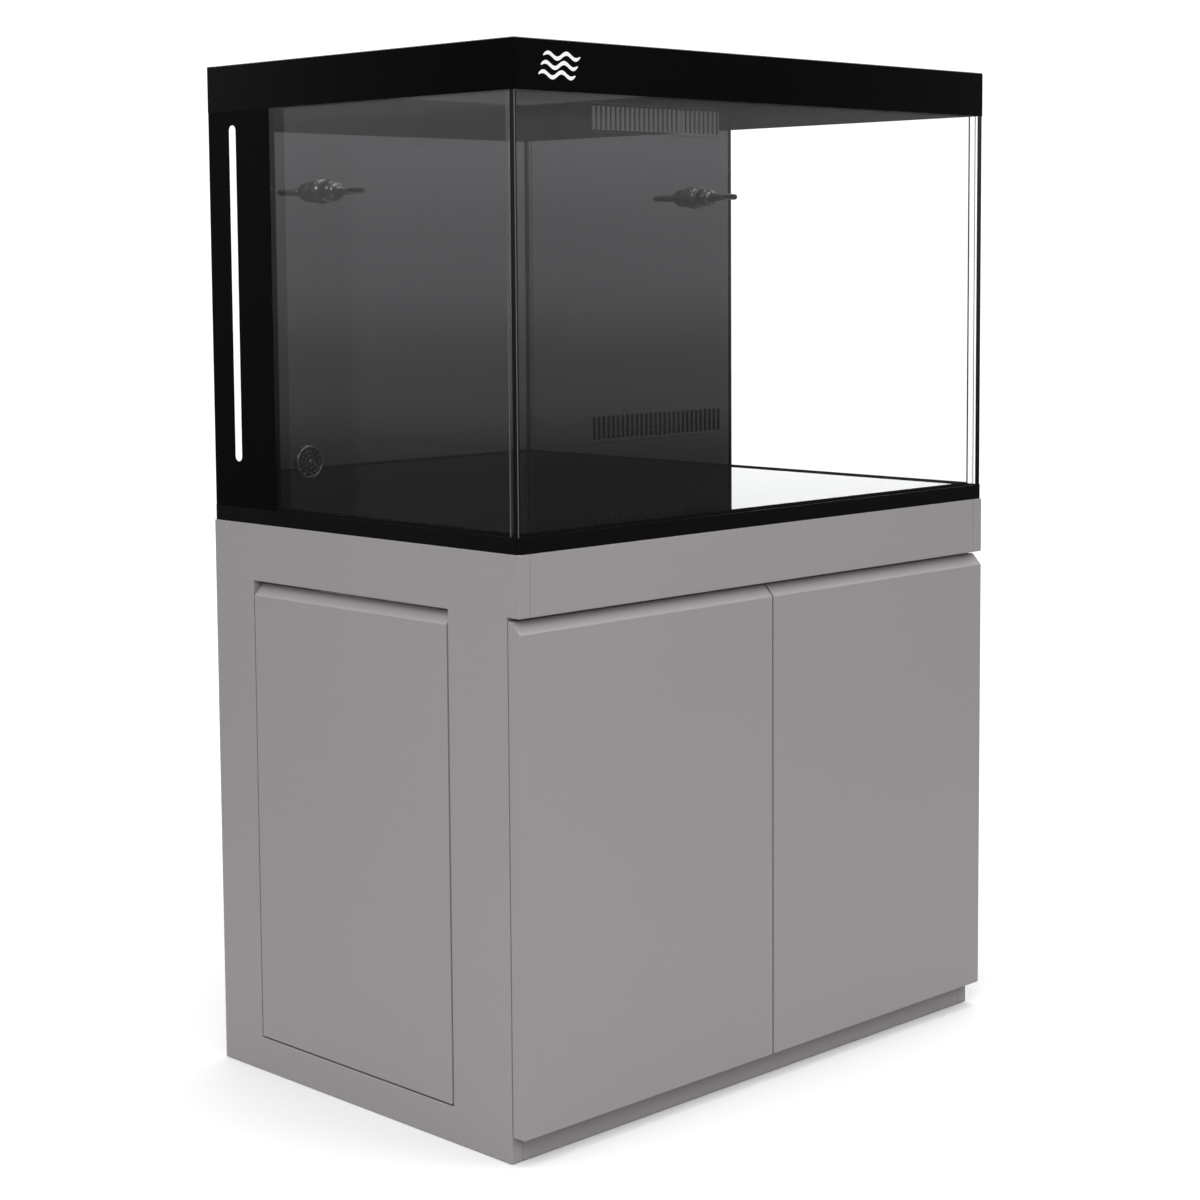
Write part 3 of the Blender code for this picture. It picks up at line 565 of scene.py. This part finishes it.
def add_screw(shape, matrix, radius=0.0036):
    """A countersunk cross-head screw, whose head stands on the matrix's XY plane."""
    profile = (
        (radius, -0.0001),
        (radius, 0.0003),
        (radius * 0.93, 0.0007),
        (radius * 0.70, 0.0010),
        (radius * 0.62, 0.0010, radius * 0.36),
        (radius * 0.40, 0.0002, radius * 0.26),
        (radius * 0.10, 0.0001),
    )
    add_turned(shape, profile, matrix, sides=32, ribs=4)


def rounded_outline(half_x, half_y, radius, steps=6):
    points = []
    for quarter, (sx, sy) in enumerate(((1, 1), (-1, 1), (-1, -1), (1, -1))):
        for i in range(steps + 1):
            angle = math.pi / 2 * (quarter + i / steps)
            x = sx * (half_x - radius) + radius * math.cos(angle)
            y = sy * (half_y - radius) + radius * math.sin(angle)
            points.append((x, y))
    return points


def make_piece(name, shape, materials, body="stand", replaces=(), bevel=0.0, smooth=35):
    """Finishes a bmesh in world coordinates as a piece that rides on a body."""
    bmesh.ops.recalc_face_normals(shape, faces=shape.faces)
    mesh = bpy.data.meshes.new(name)
    shape.to_mesh(mesh)
    shape.free()
    piece = bpy.data.objects.new(name, mesh)
    bpy.context.scene.collection.objects.link(piece)
    names = [materials] if isinstance(materials, str) else materials
    for material in names:
        mesh.materials.append(MATERIALS[material])
    if smooth:
        mesh.shade_smooth()
        mesh.set_sharp_from_angle(angle=math.radians(smooth))
    if bevel:
        add_bevel(piece, bevel)
    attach(piece, body)
    if replaces:
        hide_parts(*replaces)
    return piece


def add_bevel(thing, width, segments=2):
    modifier = thing.modifiers.new("edges", "BEVEL")
    modifier.width = width
    modifier.segments = segments
    modifier.limit_method = "ANGLE"
    modifier.angle_limit = math.radians(40)
    modifier.use_clamp_overlap = True
    modifier.harden_normals = True


def finish_node(name, material, bevel=0.0):
    """Gives a CAD node its material, and softens its edges."""
    thing = NODES[name]
    for i in range(max(1, len(thing.material_slots))):
        if not thing.material_slots:
            thing.data.materials.append(None)
        thing.material_slots[i].material = MATERIALS[material]
    if bevel:
        weld = thing.modifiers.new("weld", "WELD")
        weld.merge_threshold = 0.00001
        add_bevel(thing, bevel)


# Cabinet

LACQUERED = (
    "side_panel_left", "side_panel_right", "fascia_rail", "top_panel", "bottom_panel", "plinth_rail",
    "back_panel", "centre_partition", "side_door_post", "side_door_stop",
    "door_left", "door_right", "side_door",
)
BOARD_EDGE = 0.0013

# Hinges: the cup's flange and its two ears, and the screws of the arm and of the mounting plate
FLANGE = 0.0010
FLANGE_INNER = 0.0165
FLANGE_OUTER = 0.0196
EAR_REACH = 0.0225
ARM_SCREWS = (0.042, 0.055)
PLATE_TOP = 0.0030
PLATE_SCREW_INSET = 0.007
PLATE_SCREW_SPREAD = 0.0165

# Catches: the doors' strike plates and bumpers
STRIKE = 0.0012
STRIKE_MIDDLE = 0.0185
STRIKE_SCREW = 0.0085
BUMPER_MIDDLE = 0.024
BUMPER_LEVELS = (0.043, 0.646)
BUMPER = ((0.0050, 0.0), (0.0049, 0.0007), (0.0041, 0.0012), (0.0024, 0.0015), (0.0006, 0.0016))


def make_cabinet():
    for name in LACQUERED:
        finish_node(name, "cabinet_paint", BOARD_EDGE)
    for name in NODES:
        if name.startswith("hinge_"):
            finish_node(name, "hinge_steel", 0.0006)
    for name in ("catch_front", "catch_side"):
        finish_node(name, "catch_plastic", 0.0012)


def hinge_frame(door, level):
    """The hinge's own axes: X from the mounting face across the door, Y from the door's back inwards."""
    low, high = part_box(f"hinge_arm_{door}_{level}")
    height = (low.z + high.z) / 2
    if door == "side_door":
        place = (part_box(door)[1].x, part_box("side_door_post")[0].y, height)
        axes = Matrix(((0, 1, 0, 0), (-1, 0, 0, 0), (0, 0, 1, 0), (0, 0, 0, 1)))
        return Matrix.Translation(place) @ axes
    side = -1 if door == "door_left" else 1
    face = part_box("side_panel_left")[1].x if side < 0 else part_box("side_panel_right")[0].x
    place = (face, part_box(door)[1].y, height)
    return Matrix.Translation(place) @ Matrix.Diagonal((-side, 1, 1, 1))


def make_hinge_details():
    """The cup flanges with their screws, and the screws of each arm and mounting plate."""
    inward = Matrix.Rotation(-math.pi / 2, 4, "X")
    across = Matrix.Rotation(math.pi / 2, 4, "Y")
    ring = (
        (FLANGE_INNER, 0.0), (FLANGE_OUTER, 0.0), (FLANGE_OUTER, 0.7 * FLANGE),
        (FLANGE_OUTER - 0.0006, FLANGE), (FLANGE_INNER, FLANGE),
    )
    ear_outline = rounded_outline(0.0085, 0.0065, 0.004)
    screws = bmesh.new()
    for door in ("door_left", "door_right", "side_door"):
        shape = bmesh.new()
        for level in ("upper", "lower"):
            place = hinge_frame(door, level)
            low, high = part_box(f"hinge_cup_{door}_{level}")
            reach = (place.inverted() @ ((low + high) / 2)).x
            cup = place @ Matrix.Translation((reach, 0, 0)) @ inward
            add_turned(shape, ring, cup, close=True)
            for end in (-1, 1):
                ear = cup @ Matrix.Translation((0, end * EAR_REACH, 0))
                add_extruded(shape, ear_outline, (0.0, FLANGE), ear)
                add_screw(shape, ear @ Matrix.Translation((0, end * 0.0006, FLANGE - 0.0004)))
            corners = [place.inverted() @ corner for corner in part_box(f"hinge_arm_{door}_{level}")]
            top = max(corner.x for corner in corners)
            back = max(corner.y for corner in corners)
            for along in ARM_SCREWS:
                add_screw(screws, place @ Matrix.Translation((top, along, 0)) @ across, 0.0040)
            for end in (-1, 1):
                place_in_plate = (PLATE_TOP, back - PLATE_SCREW_INSET, end * PLATE_SCREW_SPREAD)
                spot = Matrix.Translation(place_in_plate)
                add_screw(screws, place @ spot @ across)
        make_piece("cup_flanges_" + door, shape, "hinge_steel", body=door, bevel=0.0002)
    make_piece("hinge_screws", screws, "hinge_steel")


def make_catch_details():
    """The magnets' pole plates, the doors' strike plates and the clear bumpers."""
    magnets = bmesh.new()
    catch_low, catch_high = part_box("catch_front")
    height = (catch_low.z + catch_high.z) / 2
    pole_depth = (catch_low.y - 0.0004, catch_low.y + 0.001)
    for door, side in (("door_left", -1), ("door_right", 1)):
        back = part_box(door)[1].y
        middle = side * STRIKE_MIDDLE
        for pole in (-0.005, 0.005):
            span = (height + pole - 0.0012, height + pole + 0.0012)
            add_box(magnets, (middle - 0.011, middle + 0.011), pole_depth, span)
        plate = bmesh.new()
        spot = facing((0, 1, 0), (middle, back, height))
        add_extruded(plate, rounded_outline(0.013, 0.0085, 0.002), (0.0, STRIKE), spot)
        for end in (-1, 1):
            place = Matrix.Translation((end * STRIKE_SCREW, 0, STRIKE - 0.0009))
            add_screw(plate, spot @ place, 0.0026)
        make_piece("strike_plate_" + door, plate, "hinge_steel", body=door, bevel=0.0002)
        bumpers = bmesh.new()
        for z in BUMPER_LEVELS:
            add_turned(bumpers, BUMPER, facing((0, 1, 0), (side * BUMPER_MIDDLE, back, z)))
        make_piece("bumpers_" + door, bumpers, "clear_bumper", body=door, smooth=60)
    side_low, side_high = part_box("catch_side")
    middle = (side_low.y + side_high.y) / 2
    height = (side_low.z + side_high.z) / 2
    for pole in (-0.0035, 0.0035):
        span_y = (middle + pole - 0.0010, middle + pole + 0.0010)
        span_z = (side_low.z + 0.006, side_high.z - 0.006)
        add_box(magnets, (side_low.x - 0.0002, side_low.x + 0.001), span_y, span_z)
    make_piece("magnet_poles", magnets, "magnet", bevel=0.0001)
    plate = bmesh.new()
    spot = facing((1, 0, 0), (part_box("side_door")[1].x, middle, height))
    add_extruded(plate, rounded_outline(0.0065, 0.018, 0.002), (-0.0004, 0.0004), spot)
    make_piece("strike_plate_side_door", plate, "hinge_steel", body="side_door")


# Tank

EDGE_COAT = 0.008
BEAD = 0.0022
MAT_BULGE = 0.0012


def make_pane(name, node, coated=False):
    """A sheet with ground edges: clear faces, pale arrises and a greenish rim.

    A coated sheet has black on the front part of its two upright ends. Without a coat they are clear.
    """
    lo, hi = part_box(node)
    shape = bmesh.new()
    add_box(shape, (lo.x, hi.x), (lo.y, hi.y), (lo.z, hi.z))
    bmesh.ops.bevel(shape, geom=shape.edges[:], offset=ARRIS, segments=1, affect="EDGES")
    if coated:
        parts = shape.verts[:] + shape.edges[:] + shape.faces[:]
        bmesh.ops.bisect_plane(shape, geom=parts, plane_co=(0, lo.y + EDGE_COAT, 0), plane_no=(0, 1, 0))
    bmesh.ops.recalc_face_normals(shape, faces=shape.faces)
    for face in shape.faces:
        face.normal_update()
        if max(abs(value) for value in face.normal) < 0.99:
            face.material_index = 3
        elif abs(face.normal.z) > 0.99:
            face.material_index = 2
        elif coated and abs(face.normal.x) > 0.99 and face.calc_center_median().y < lo.y + EDGE_COAT:
            face.material_index = 1
    make_piece(
        name, shape, ("glass", "glass_edge", "glass_rim", "glass_arris"), replaces=(node,), smooth=0,
    )


def hollow_fillet(corner, side_x, side_y, size, steps=6):
    """The outline of a silicone bead in a corner, with a hollow face. The sides say which way it faces."""
    outline = [corner]
    for i in range(steps + 1):
        angle = math.pi / 2 * i / steps
        x = corner[0] + side_x * size * (1 - math.sin(angle))
        y = corner[1] + side_y * size * (1 - math.cos(angle))
        outline.append((x, y))
    return outline


def make_seams():
    """Slim beads of silicone up the inner front corners, and along the foot of the three panes."""
    for side_name, side in (("left", -1), ("right", 1)):
        shape = bmesh.new()
        outline = hollow_fillet((side * INNER_X, -INNER_Y), -side, 1, BEAD)
        add_extruded(shape, outline, (FLOOR_TOP, BAND_BOTTOM), Matrix())
        name = "silicone_seam_" + side_name
        make_piece("corner_bead_" + side_name, shape, "silicone", replaces=(name,))
    shape = bmesh.new()
    for side in (-1, 1):
        outline = hollow_fillet((side * INNER_X, FLOOR_TOP), -side, 1, BEAD)
        add_extruded(shape, outline, (-INNER_Y, DIVIDER_FACE), UPRIGHT)
    outline = hollow_fillet((-INNER_Y, FLOOR_TOP), 1, 1, BEAD)
    add_extruded(shape, outline, (-INNER_X + BEAD, INNER_X - BEAD), SIDEWAYS)
    make_piece("floor_bead", shape, "silicone")


def make_mat():
    """The foam mat under the tank, whose edge bulges softly under the weight."""
    low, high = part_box("leveling_mat")
    shape = bmesh.new()
    rings = []
    for i in range(7):
        share = i / 6
        inset = MAT_BULGE * (2 * share - 1) ** 2
        z = low.z + share * (high.z - low.z)
        outline = rounded_outline(high.x - inset, high.y - inset, 0.004, 3)
        rings.append([Vector((x, y, z)) for x, y in outline])
    add_loop(shape, rings, False)
    make_piece("foam_mat", shape, "foam", replaces=("leveling_mat",))


def make_films():
    """The black band and the chamber's cladding, on the outside of the glass.

    The cladding starts just before the divider on the left, and at its back on the right.
    """
    face_x = (PANE_X + FILM_GAP, PANE_X + FILM_GAP + FILM)
    end_y = PANE_Y - SAW_CUT
    shape = bmesh.new()
    rings = []
    outside = FILM_GAP + FILM
    for out, z in ((FILM_GAP, BAND_BOTTOM), (outside, BAND_BOTTOM), (outside, RIM - SAW_CUT)):
        outline = rounded_outline(PANE_X + out, PANE_Y + out, ARRIS, 3)
        rings.append([Vector((x, y, z)) for x, y in outline])
    rings.append([point + Vector((0, 0, rings[2][0].z - point.z)) for point in rings[0]])
    add_loop(shape, rings, True)
    make_piece("band_film", shape, "black_film", replaces=("top_band",), smooth=50)

    for side_name, side in (("left", -1), ("right", 1)):
        start = DIVIDER_FACE + side * FILM_LAP
        shape = bmesh.new()
        outer = [(start, TRIM_TOP), (end_y, TRIM_TOP), (end_y, BAND_BOTTOM), (start, BAND_BOTTOM)]
        loops = [outer]
        if side_name == "left":
            loops.append(window_outline(0.0))
        x = side * face_x[0]
        edges = []
        for loop in loops:
            corners = [shape.verts.new((x, py, pz)) for py, pz in loop]
            for i, corner in enumerate(corners):
                edges.append(shape.edges.new((corner, corners[(i + 1) % len(corners)])))
        bmesh.ops.triangle_fill(shape, use_beauty=True, edges=edges)
        made = bmesh.ops.extrude_face_region(shape, geom=shape.faces[:])
        moved = [part for part in made["geom"] if isinstance(part, bmesh.types.BMVert)]
        bmesh.ops.translate(shape, verts=moved, vec=(side * FILM, 0, 0))
        name = "chamber_film_" + side_name
        make_piece("chamber_cladding_" + side_name, shape, "black_film", replaces=(name,), smooth=0)
    shape = bmesh.new()
    add_extruded(shape, window_outline(0.0003), (-face_x[1], -face_x[0]), SIDEWAYS)
    make_piece("level_window_strip", shape, "window_acrylic", replaces=("level_window",), smooth=0)


def window_outline(inset, steps=10):
    """The level window's slot with round ends, as (y, z) points."""
    lo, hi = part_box("level_window")
    radius = (hi.y - lo.y) / 2 - inset
    middle = (lo.y + hi.y) / 2
    points = []
    for end, turn in ((hi.z - inset - radius, 0), (lo.z + inset + radius, math.pi)):
        for i in range(steps + 1):
            angle = turn + math.pi * i / steps
            points.append((middle + radius * math.cos(angle), end + radius * math.sin(angle)))
    return points


def make_badge():
    """A plain emblem of three waves on the front band."""
    shape = bmesh.new()
    y = (-PANE_Y - FILM_GAP - FILM - 0.0004, -PANE_Y - FILM_GAP - FILM - 0.0001)
    start_x, length, steps = -PANE_X + 0.038, 0.060, 96
    for indent, height in ((0.008, 0.011), (0.004, 0.0), (0.0, -0.011)):
        upper = []
        lower = []
        for i in range(steps + 1):
            share = i / steps
            x = start_x + indent + share * length
            middle = (BAND_BOTTOM + RIM) / 2 + height + 0.0032 * math.sin(2 * math.pi * share * 2)
            half = 0.0024 * math.sqrt(max(0.02, 1 - (2 * share - 1) ** 6))
            upper.append((x, middle + half))
            lower.append((x, middle - half))
        add_extruded(shape, upper + lower[::-1], y, UPRIGHT)
    make_piece("front_badge", shape, "white_vinyl", smooth=0)


def make_tank():
    make_pane("front_pane", "front_glass", coated=True)
    make_pane("left_pane", "left_glass")
    make_pane("right_pane", "right_glass")
    for name in ("rear_glass", "divider_panel"):
        finish_node(name, "black_glass")
    finish_node("floor_panel", "floor_glass")
    finish_node("bottom_glass", "glass_edge")
    finish_node("base_trim", "trim_plastic", 0.0008)
    make_mat()
    make_seams()
    make_films()
    make_badge()


# Rear chamber

SLOT_PITCH = 0.010
SLOT = 0.0055
GRILLE_BORDER = 0.005
GRILLE_DEPTH = 0.0030
GRILLE_PROUD = 0.0003
TINY = 0.00001


def make_grille(name, node, bars, sides):
    """A slotted panel in one opening of the divider, nearly flush, with two materials for its bars."""
    low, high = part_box(node)
    across = slot_lines(low.x, high.x, GRILLE_BORDER, SLOT_PITCH, SLOT)
    upright = [low.z, low.z + GRILLE_BORDER, high.z - GRILLE_BORDER, high.z]
    shape = bmesh.new()
    depth = (DIVIDER_FACE - GRILLE_PROUD, DIVIDER_FACE - GRILLE_PROUD + GRILLE_DEPTH)
    add_lattice(shape, across, upright, depth, lambda i, j: i % 2 == 0 or j != 1, UPRIGHT)
    for face in shape.faces:
        middle = face.calc_center_median()
        within_x = across[1] - TINY < middle.x < across[-2] + TINY
        within_z = upright[1] - TINY < middle.z < upright[2] + TINY
        if within_x and within_z:
            face.normal_update()
            face.material_index = 1 if abs(face.normal.y) > 0.5 else 2
    make_piece(
        name, shape, ("black_glass", bars, sides), replaces=(node,), bevel=0.0005,
    )


def make_strainer():
    """A round drain cover: rings and spokes over a dark cup."""
    low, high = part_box("drain_strainer")
    radius = (high.x - low.x) / 2
    face = facing((0, -1, 0), ((low.x + high.x) / 2, DIVIDER_FACE, (low.z + high.z) / 2))
    proud = DIVIDER_FACE - low.y
    shape = bmesh.new()
    for outer, width in ((radius, 0.0036), (radius * 0.70, 0.0018), (radius * 0.42, 0.0016)):
        ring = (
            (outer, 0.0), (outer, proud * 0.45), (outer - 0.25 * width, proud * 0.62),
            (outer - 0.75 * width, proud * 0.62), (outer - width, proud * 0.45), (outer - width, 0.0),
        )
        add_turned(shape, ring, face, close=True)
    add_turned(shape, ((0.0034, 0.0), (0.0034, 0.0040), (0.0024, 0.0048), (0.0008, 0.0050)), face)
    for i in range(12):
        spoke = face @ Matrix.Rotation(2 * math.pi * i / 12, 4, "Z")
        outline = ((0.0025, -0.0005), (radius - 0.002, -0.0007), (radius - 0.002, 0.0007), (0.0025, 0.0005))
        add_extruded(shape, outline, (0.0, 0.0036), spoke)
    cup = ((radius - 0.0040, -0.0002), (radius - 0.0040, -0.0055), (0.0010, -0.0055))
    inner = ((0.0010, -0.0045), (radius - 0.0050, -0.0045), (radius - 0.0050, -0.0002))
    add_turned(shape, cup + inner, face, close=True)
    make_piece("drain_cover", shape, "black_plastic", replaces=("drain_strainer",), bevel=0.0002)


# Turned profile of the bulkhead as (radius, height, depth of ribs) around the divider's face, and
# sections of the tip as (distance from the ball's middle, half width, half height)
BULKHEAD = (
    (0.0128, -0.0300), (0.0128, -0.0142),
    (0.0176, -0.0140, 0.0022), (0.0180, -0.0132, 0.0022), (0.0180, -0.0074, 0.0022),
    (0.0176, -0.0066, 0.0022), (0.0128, -0.0064), (0.0128, 0.0003),
    (0.0162, 0.0003), (0.0168, 0.0008), (0.0168, 0.0018), (0.0160, 0.0022, 0.0008),
    (0.0160, 0.0060, 0.0008), (0.0156, 0.0066), (0.0145, 0.0072), (0.0138, 0.0080),
    (0.0145, 0.0092), (0.0147, 0.0112), (0.0145, 0.0132), (0.0140, 0.0142),
    (0.0132, 0.0145), (0.0126, 0.0139), (0.0126, 0.0070), (0.0090, 0.0050), (0.0090, -0.0300),
)
TIP_OUTSIDE = (
    (0.0030, 0.0126, 0.0126), (0.0034, 0.0131, 0.0131), (0.0052, 0.0131, 0.0131), (0.0058, 0.0125, 0.0125),
    (0.0070, 0.0125, 0.0125), (0.0076, 0.0130, 0.0130), (0.0094, 0.0129, 0.0129), (0.0100, 0.0117, 0.0117),
    (0.0108, 0.0104, 0.0102), (0.0118, 0.0092, 0.0086), (0.0140, 0.0086, 0.0074), (0.0170, 0.0085, 0.0066),
    (0.0220, 0.0092, 0.0058), (0.0290, 0.0110, 0.0051), (0.0360, 0.0130, 0.0046), (0.0430, 0.0150, 0.0042),
    (0.0476, 0.0162, 0.0040), (0.0484, 0.0168, 0.0045), (0.0494, 0.0168, 0.0045), (0.0498, 0.0164, 0.0042),
)
TIP_INSIDE = (
    (0.0498, 0.0154, 0.0029), (0.0476, 0.0150, 0.0028), (0.0430, 0.0138, 0.0030), (0.0360, 0.0118, 0.0034),
    (0.0290, 0.0098, 0.0039), (0.0220, 0.0080, 0.0045), (0.0160, 0.0066, 0.0052), (0.0108, 0.0066, 0.0066),
    (0.0085, 0.0093, 0.0093), (0.0058, 0.0110, 0.0110), (0.0030, 0.0120, 0.0120),
)
SQUARE_START = 0.020


def make_nozzle(side_name):
    """A bulkhead with ribbed nuts, and a tip with grip rings and a flat mouth that turns on the ball.

    The tip's sections are ellipses near the ball, and turn squarer from SQUARE_START on.
    """
    ball_low, ball_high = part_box("nozzle_ball_" + side_name)
    ball = (ball_low + ball_high) / 2
    shape = bmesh.new()
    face = facing((0, -1, 0), (ball.x, DIVIDER_FACE, ball.z))
    add_turned(shape, BULKHEAD, face, close=True, sides=120, ribs=20)
    make_piece(
        "bulkhead_nut_" + side_name, shape, "gloss_plastic",
        replaces=("bulkhead_" + side_name,), smooth=40,
    )

    shape = bmesh.new()
    rings = []
    for along, width, height in TIP_OUTSIDE + TIP_INSIDE:
        squareness = 2 + 1.4 * min(1.0, max(0.0, (along - SQUARE_START) / 0.02))
        ring = []
        for i in range(56):
            angle = 2 * math.pi * i / 56
            x, z = math.cos(angle), math.sin(angle)
            x = math.copysign(abs(x) ** (2 / squareness), x)
            z = math.copysign(abs(z) ** (2 / squareness), z)
            ring.append(ball + Vector((width * x, -along, height * z)))
        rings.append(ring)
    add_loop(shape, rings, True)
    make_piece(
        "nozzle_mouth_" + side_name, shape, "gloss_plastic", body="nozzle_tilt_" + side_name,
        replaces=("nozzle_tip_" + side_name,), smooth=40,
    )


COVER_WALL = 0.0022
COVER_BORDER = 0.006
FIN_PITCH = 0.009
FIN_PROUD = 0.0018
HUB = 0.0075
SHAFT = 0.0050


def slotted(i, j):
    """True for the bars of a lattice: every second column and row."""
    return i % 2 == 0 or j % 2 == 0


def make_pump():
    """The slotted intake cover, cooling fins and the impeller's hub."""
    low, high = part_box("pump_cover")
    shape = bmesh.new()
    wall = COVER_WALL
    middle = (low.z + high.z) / 2
    across = slot_lines(low.x, high.x, COVER_BORDER, 0.0065, 0.0032)
    upright = [low.z, low.z + COVER_BORDER, middle - 0.002, middle + 0.002, high.z - COVER_BORDER, high.z]
    add_lattice(shape, across, upright, (low.y, low.y + wall), slotted, UPRIGHT)
    for x in ((low.x, low.x + wall), (high.x - wall, high.x)):
        add_box(shape, x, (low.y + wall, high.y), (low.z, high.z))
    for z in ((low.z, low.z + wall), (high.z - wall, high.z)):
        add_box(shape, (low.x + wall, high.x - wall), (low.y + wall, high.y), z)
    make_piece("intake_cover", shape, "black_plastic", replaces=("pump_cover",), bevel=0.0004)

    body_low, body_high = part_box("pump_body")
    shape = bmesh.new()
    shoulder = body_high.z - 0.020
    for side, x in ((-1, body_low.x), (1, body_high.x)):
        for i in range(7):
            y = body_low.y + 0.010 + i * FIN_PITCH
            span_x = sorted((x - side * 0.001, x + side * FIN_PROUD))
            add_box(shape, span_x, (y - 0.0012, y + 0.0012), (body_low.z + 0.008, shoulder))
    make_piece("pump_fins", shape, "black_plastic", bevel=0.0005)

    wheel_low, wheel_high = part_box("pump_impeller")
    centre = (wheel_low + wheel_high) / 2
    hub = facing((0, -1, 0), (centre.x, wheel_high.y, centre.z))
    length = wheel_high.y - wheel_low.y
    profile = (
        (HUB, 0.0), (HUB, 0.0010), (SHAFT + 0.0002, 0.0018), (SHAFT, length), (0.0030, length + 0.002),
    )
    shape = bmesh.new()
    add_turned(shape, profile, hub)
    make_piece("impeller_hub", shape, "catch_plastic", body="impeller")


def make_pipe_fittings():
    """Collars where the return pipe meets the bulkheads, the riser and the pump."""
    pipe_low, pipe_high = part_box("cross_pipe")
    riser_low, riser_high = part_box("riser_pipe")
    riser = (riser_low + riser_high) / 2
    pipe_z = (pipe_low.z + pipe_high.z) / 2
    radius = (riser_high.x - riser_low.x) / 2
    shape = bmesh.new()

    def add_collar(place, direction, length):
        wall = radius + 0.0026
        profile = (
            (radius + 0.0001, -length / 2), (wall - 0.0006, -length / 2), (wall, -length / 2 + 0.0006),
            (wall, length / 2 - 0.0006), (wall - 0.0006, length / 2), (radius + 0.0001, length / 2),
        )
        add_turned(shape, profile, facing(direction, place), close=True, sides=36)

    add_collar((riser.x, riser.y, pipe_z), (1, 0, 0), 0.046)
    add_collar((riser.x, riser.y, riser_high.z - 0.010), (0, 0, 1), 0.018)
    add_collar((riser.x, riser.y, riser_low.z + 0.008), (0, 0, 1), 0.014)
    for side in (-1, 1):
        place = (side * (pipe_high.x - radius), pipe_low.y + 0.011, pipe_z)
        add_collar(place, (0, 1, 0), 0.018)
    make_piece("pipe_collars", shape, "black_plastic")


BASKET_WALL = 0.0025
HANDLE = 0.0021
HANDLE_RISE = 0.034
HANDLE_BEND = 0.016


def make_basket():
    """A slotted media basket with a bail handle, and the sponge inside it."""
    low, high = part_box("media_basket")
    wall = BASKET_WALL
    shape = bmesh.new()
    rows = slot_lines(low.z, high.z, 0.016, 0.0085, 0.0038)
    for y in ((low.y, low.y + wall), (high.y - wall, high.y)):
        posts = slot_lines(low.x, high.x, 0.004, 0.0485, 0.043)
        add_lattice(shape, posts, rows, y, slotted, UPRIGHT)
    for x in ((low.x, low.x + wall), (high.x - wall, high.x)):
        posts = slot_lines(low.y + wall, high.y - wall, 0.003, 0.028, 0.0235)
        add_lattice(shape, posts, rows, x, slotted, SIDEWAYS)
    across = slot_lines(low.x + wall, high.x - wall, 0.004, 0.010, 0.005)
    upright = slot_lines(low.y + wall, high.y - wall, 0.004, 0.027, 0.022)
    add_lattice(shape, across, upright, (low.z, low.z + wall), slotted, Matrix())
    make_piece("basket_walls", shape, "black_plastic", body="basket", replaces=("media_basket",))

    shape = bmesh.new()
    middle = (low.y + high.y) / 2
    left, right = low.x + wall + HANDLE, high.x - wall - HANDLE
    foot, top, bend = high.z - 0.014, high.z + HANDLE_RISE, HANDLE_BEND
    route = [(left, middle, foot)]
    for centre_x, start in ((left + bend, math.pi), (right - bend, math.pi / 2)):
        for i in range(9):
            angle = start - math.pi / 2 * i / 8
            x = centre_x + bend * math.cos(angle)
            route.append((x, middle, top - bend + bend * math.sin(angle)))
    route.append((right, middle, foot))
    add_tube(shape, route, HANDLE)
    make_piece("basket_handle", shape, "comb_plastic", body="basket", smooth=50)

    sponge_low, sponge_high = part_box("filter_sponge")
    shape = bmesh.new()
    add_soft_block(shape, sponge_low, sponge_high, 0.004, 22, 0.0011, 60.0)
    make_piece("sponge_block", shape, "sponge", body="basket", replaces=("filter_sponge",), smooth=60)


def make_chamber():
    make_grille("weir_teeth", "weir_comb", "comb_plastic", "comb_plastic")
    make_grille("lower_intake", "lower_grille", "black_glass", "black_film")
    make_strainer()
    for side_name in ("left", "right"):
        make_nozzle(side_name)
    for name in ("nozzle_ball_left", "nozzle_ball_right"):
        finish_node(name, "gloss_plastic")
    for name in ("cross_pipe", "riser_pipe"):
        finish_node(name, "black_plastic")
    for name in ("baffle_left", "baffle_right"):
        finish_node(name, "black_glass", 0.0004)
    finish_node("pump_body", "black_plastic", 0.0030)
    finish_node("pump_impeller", "catch_plastic", 0.0004)
    make_pump()
    make_pipe_fittings()
    make_basket()


make_studio()
make_floor()
MATERIALS = make_materials()
make_cabinet()
make_hinge_details()
make_catch_details()
make_tank()
make_chamber()
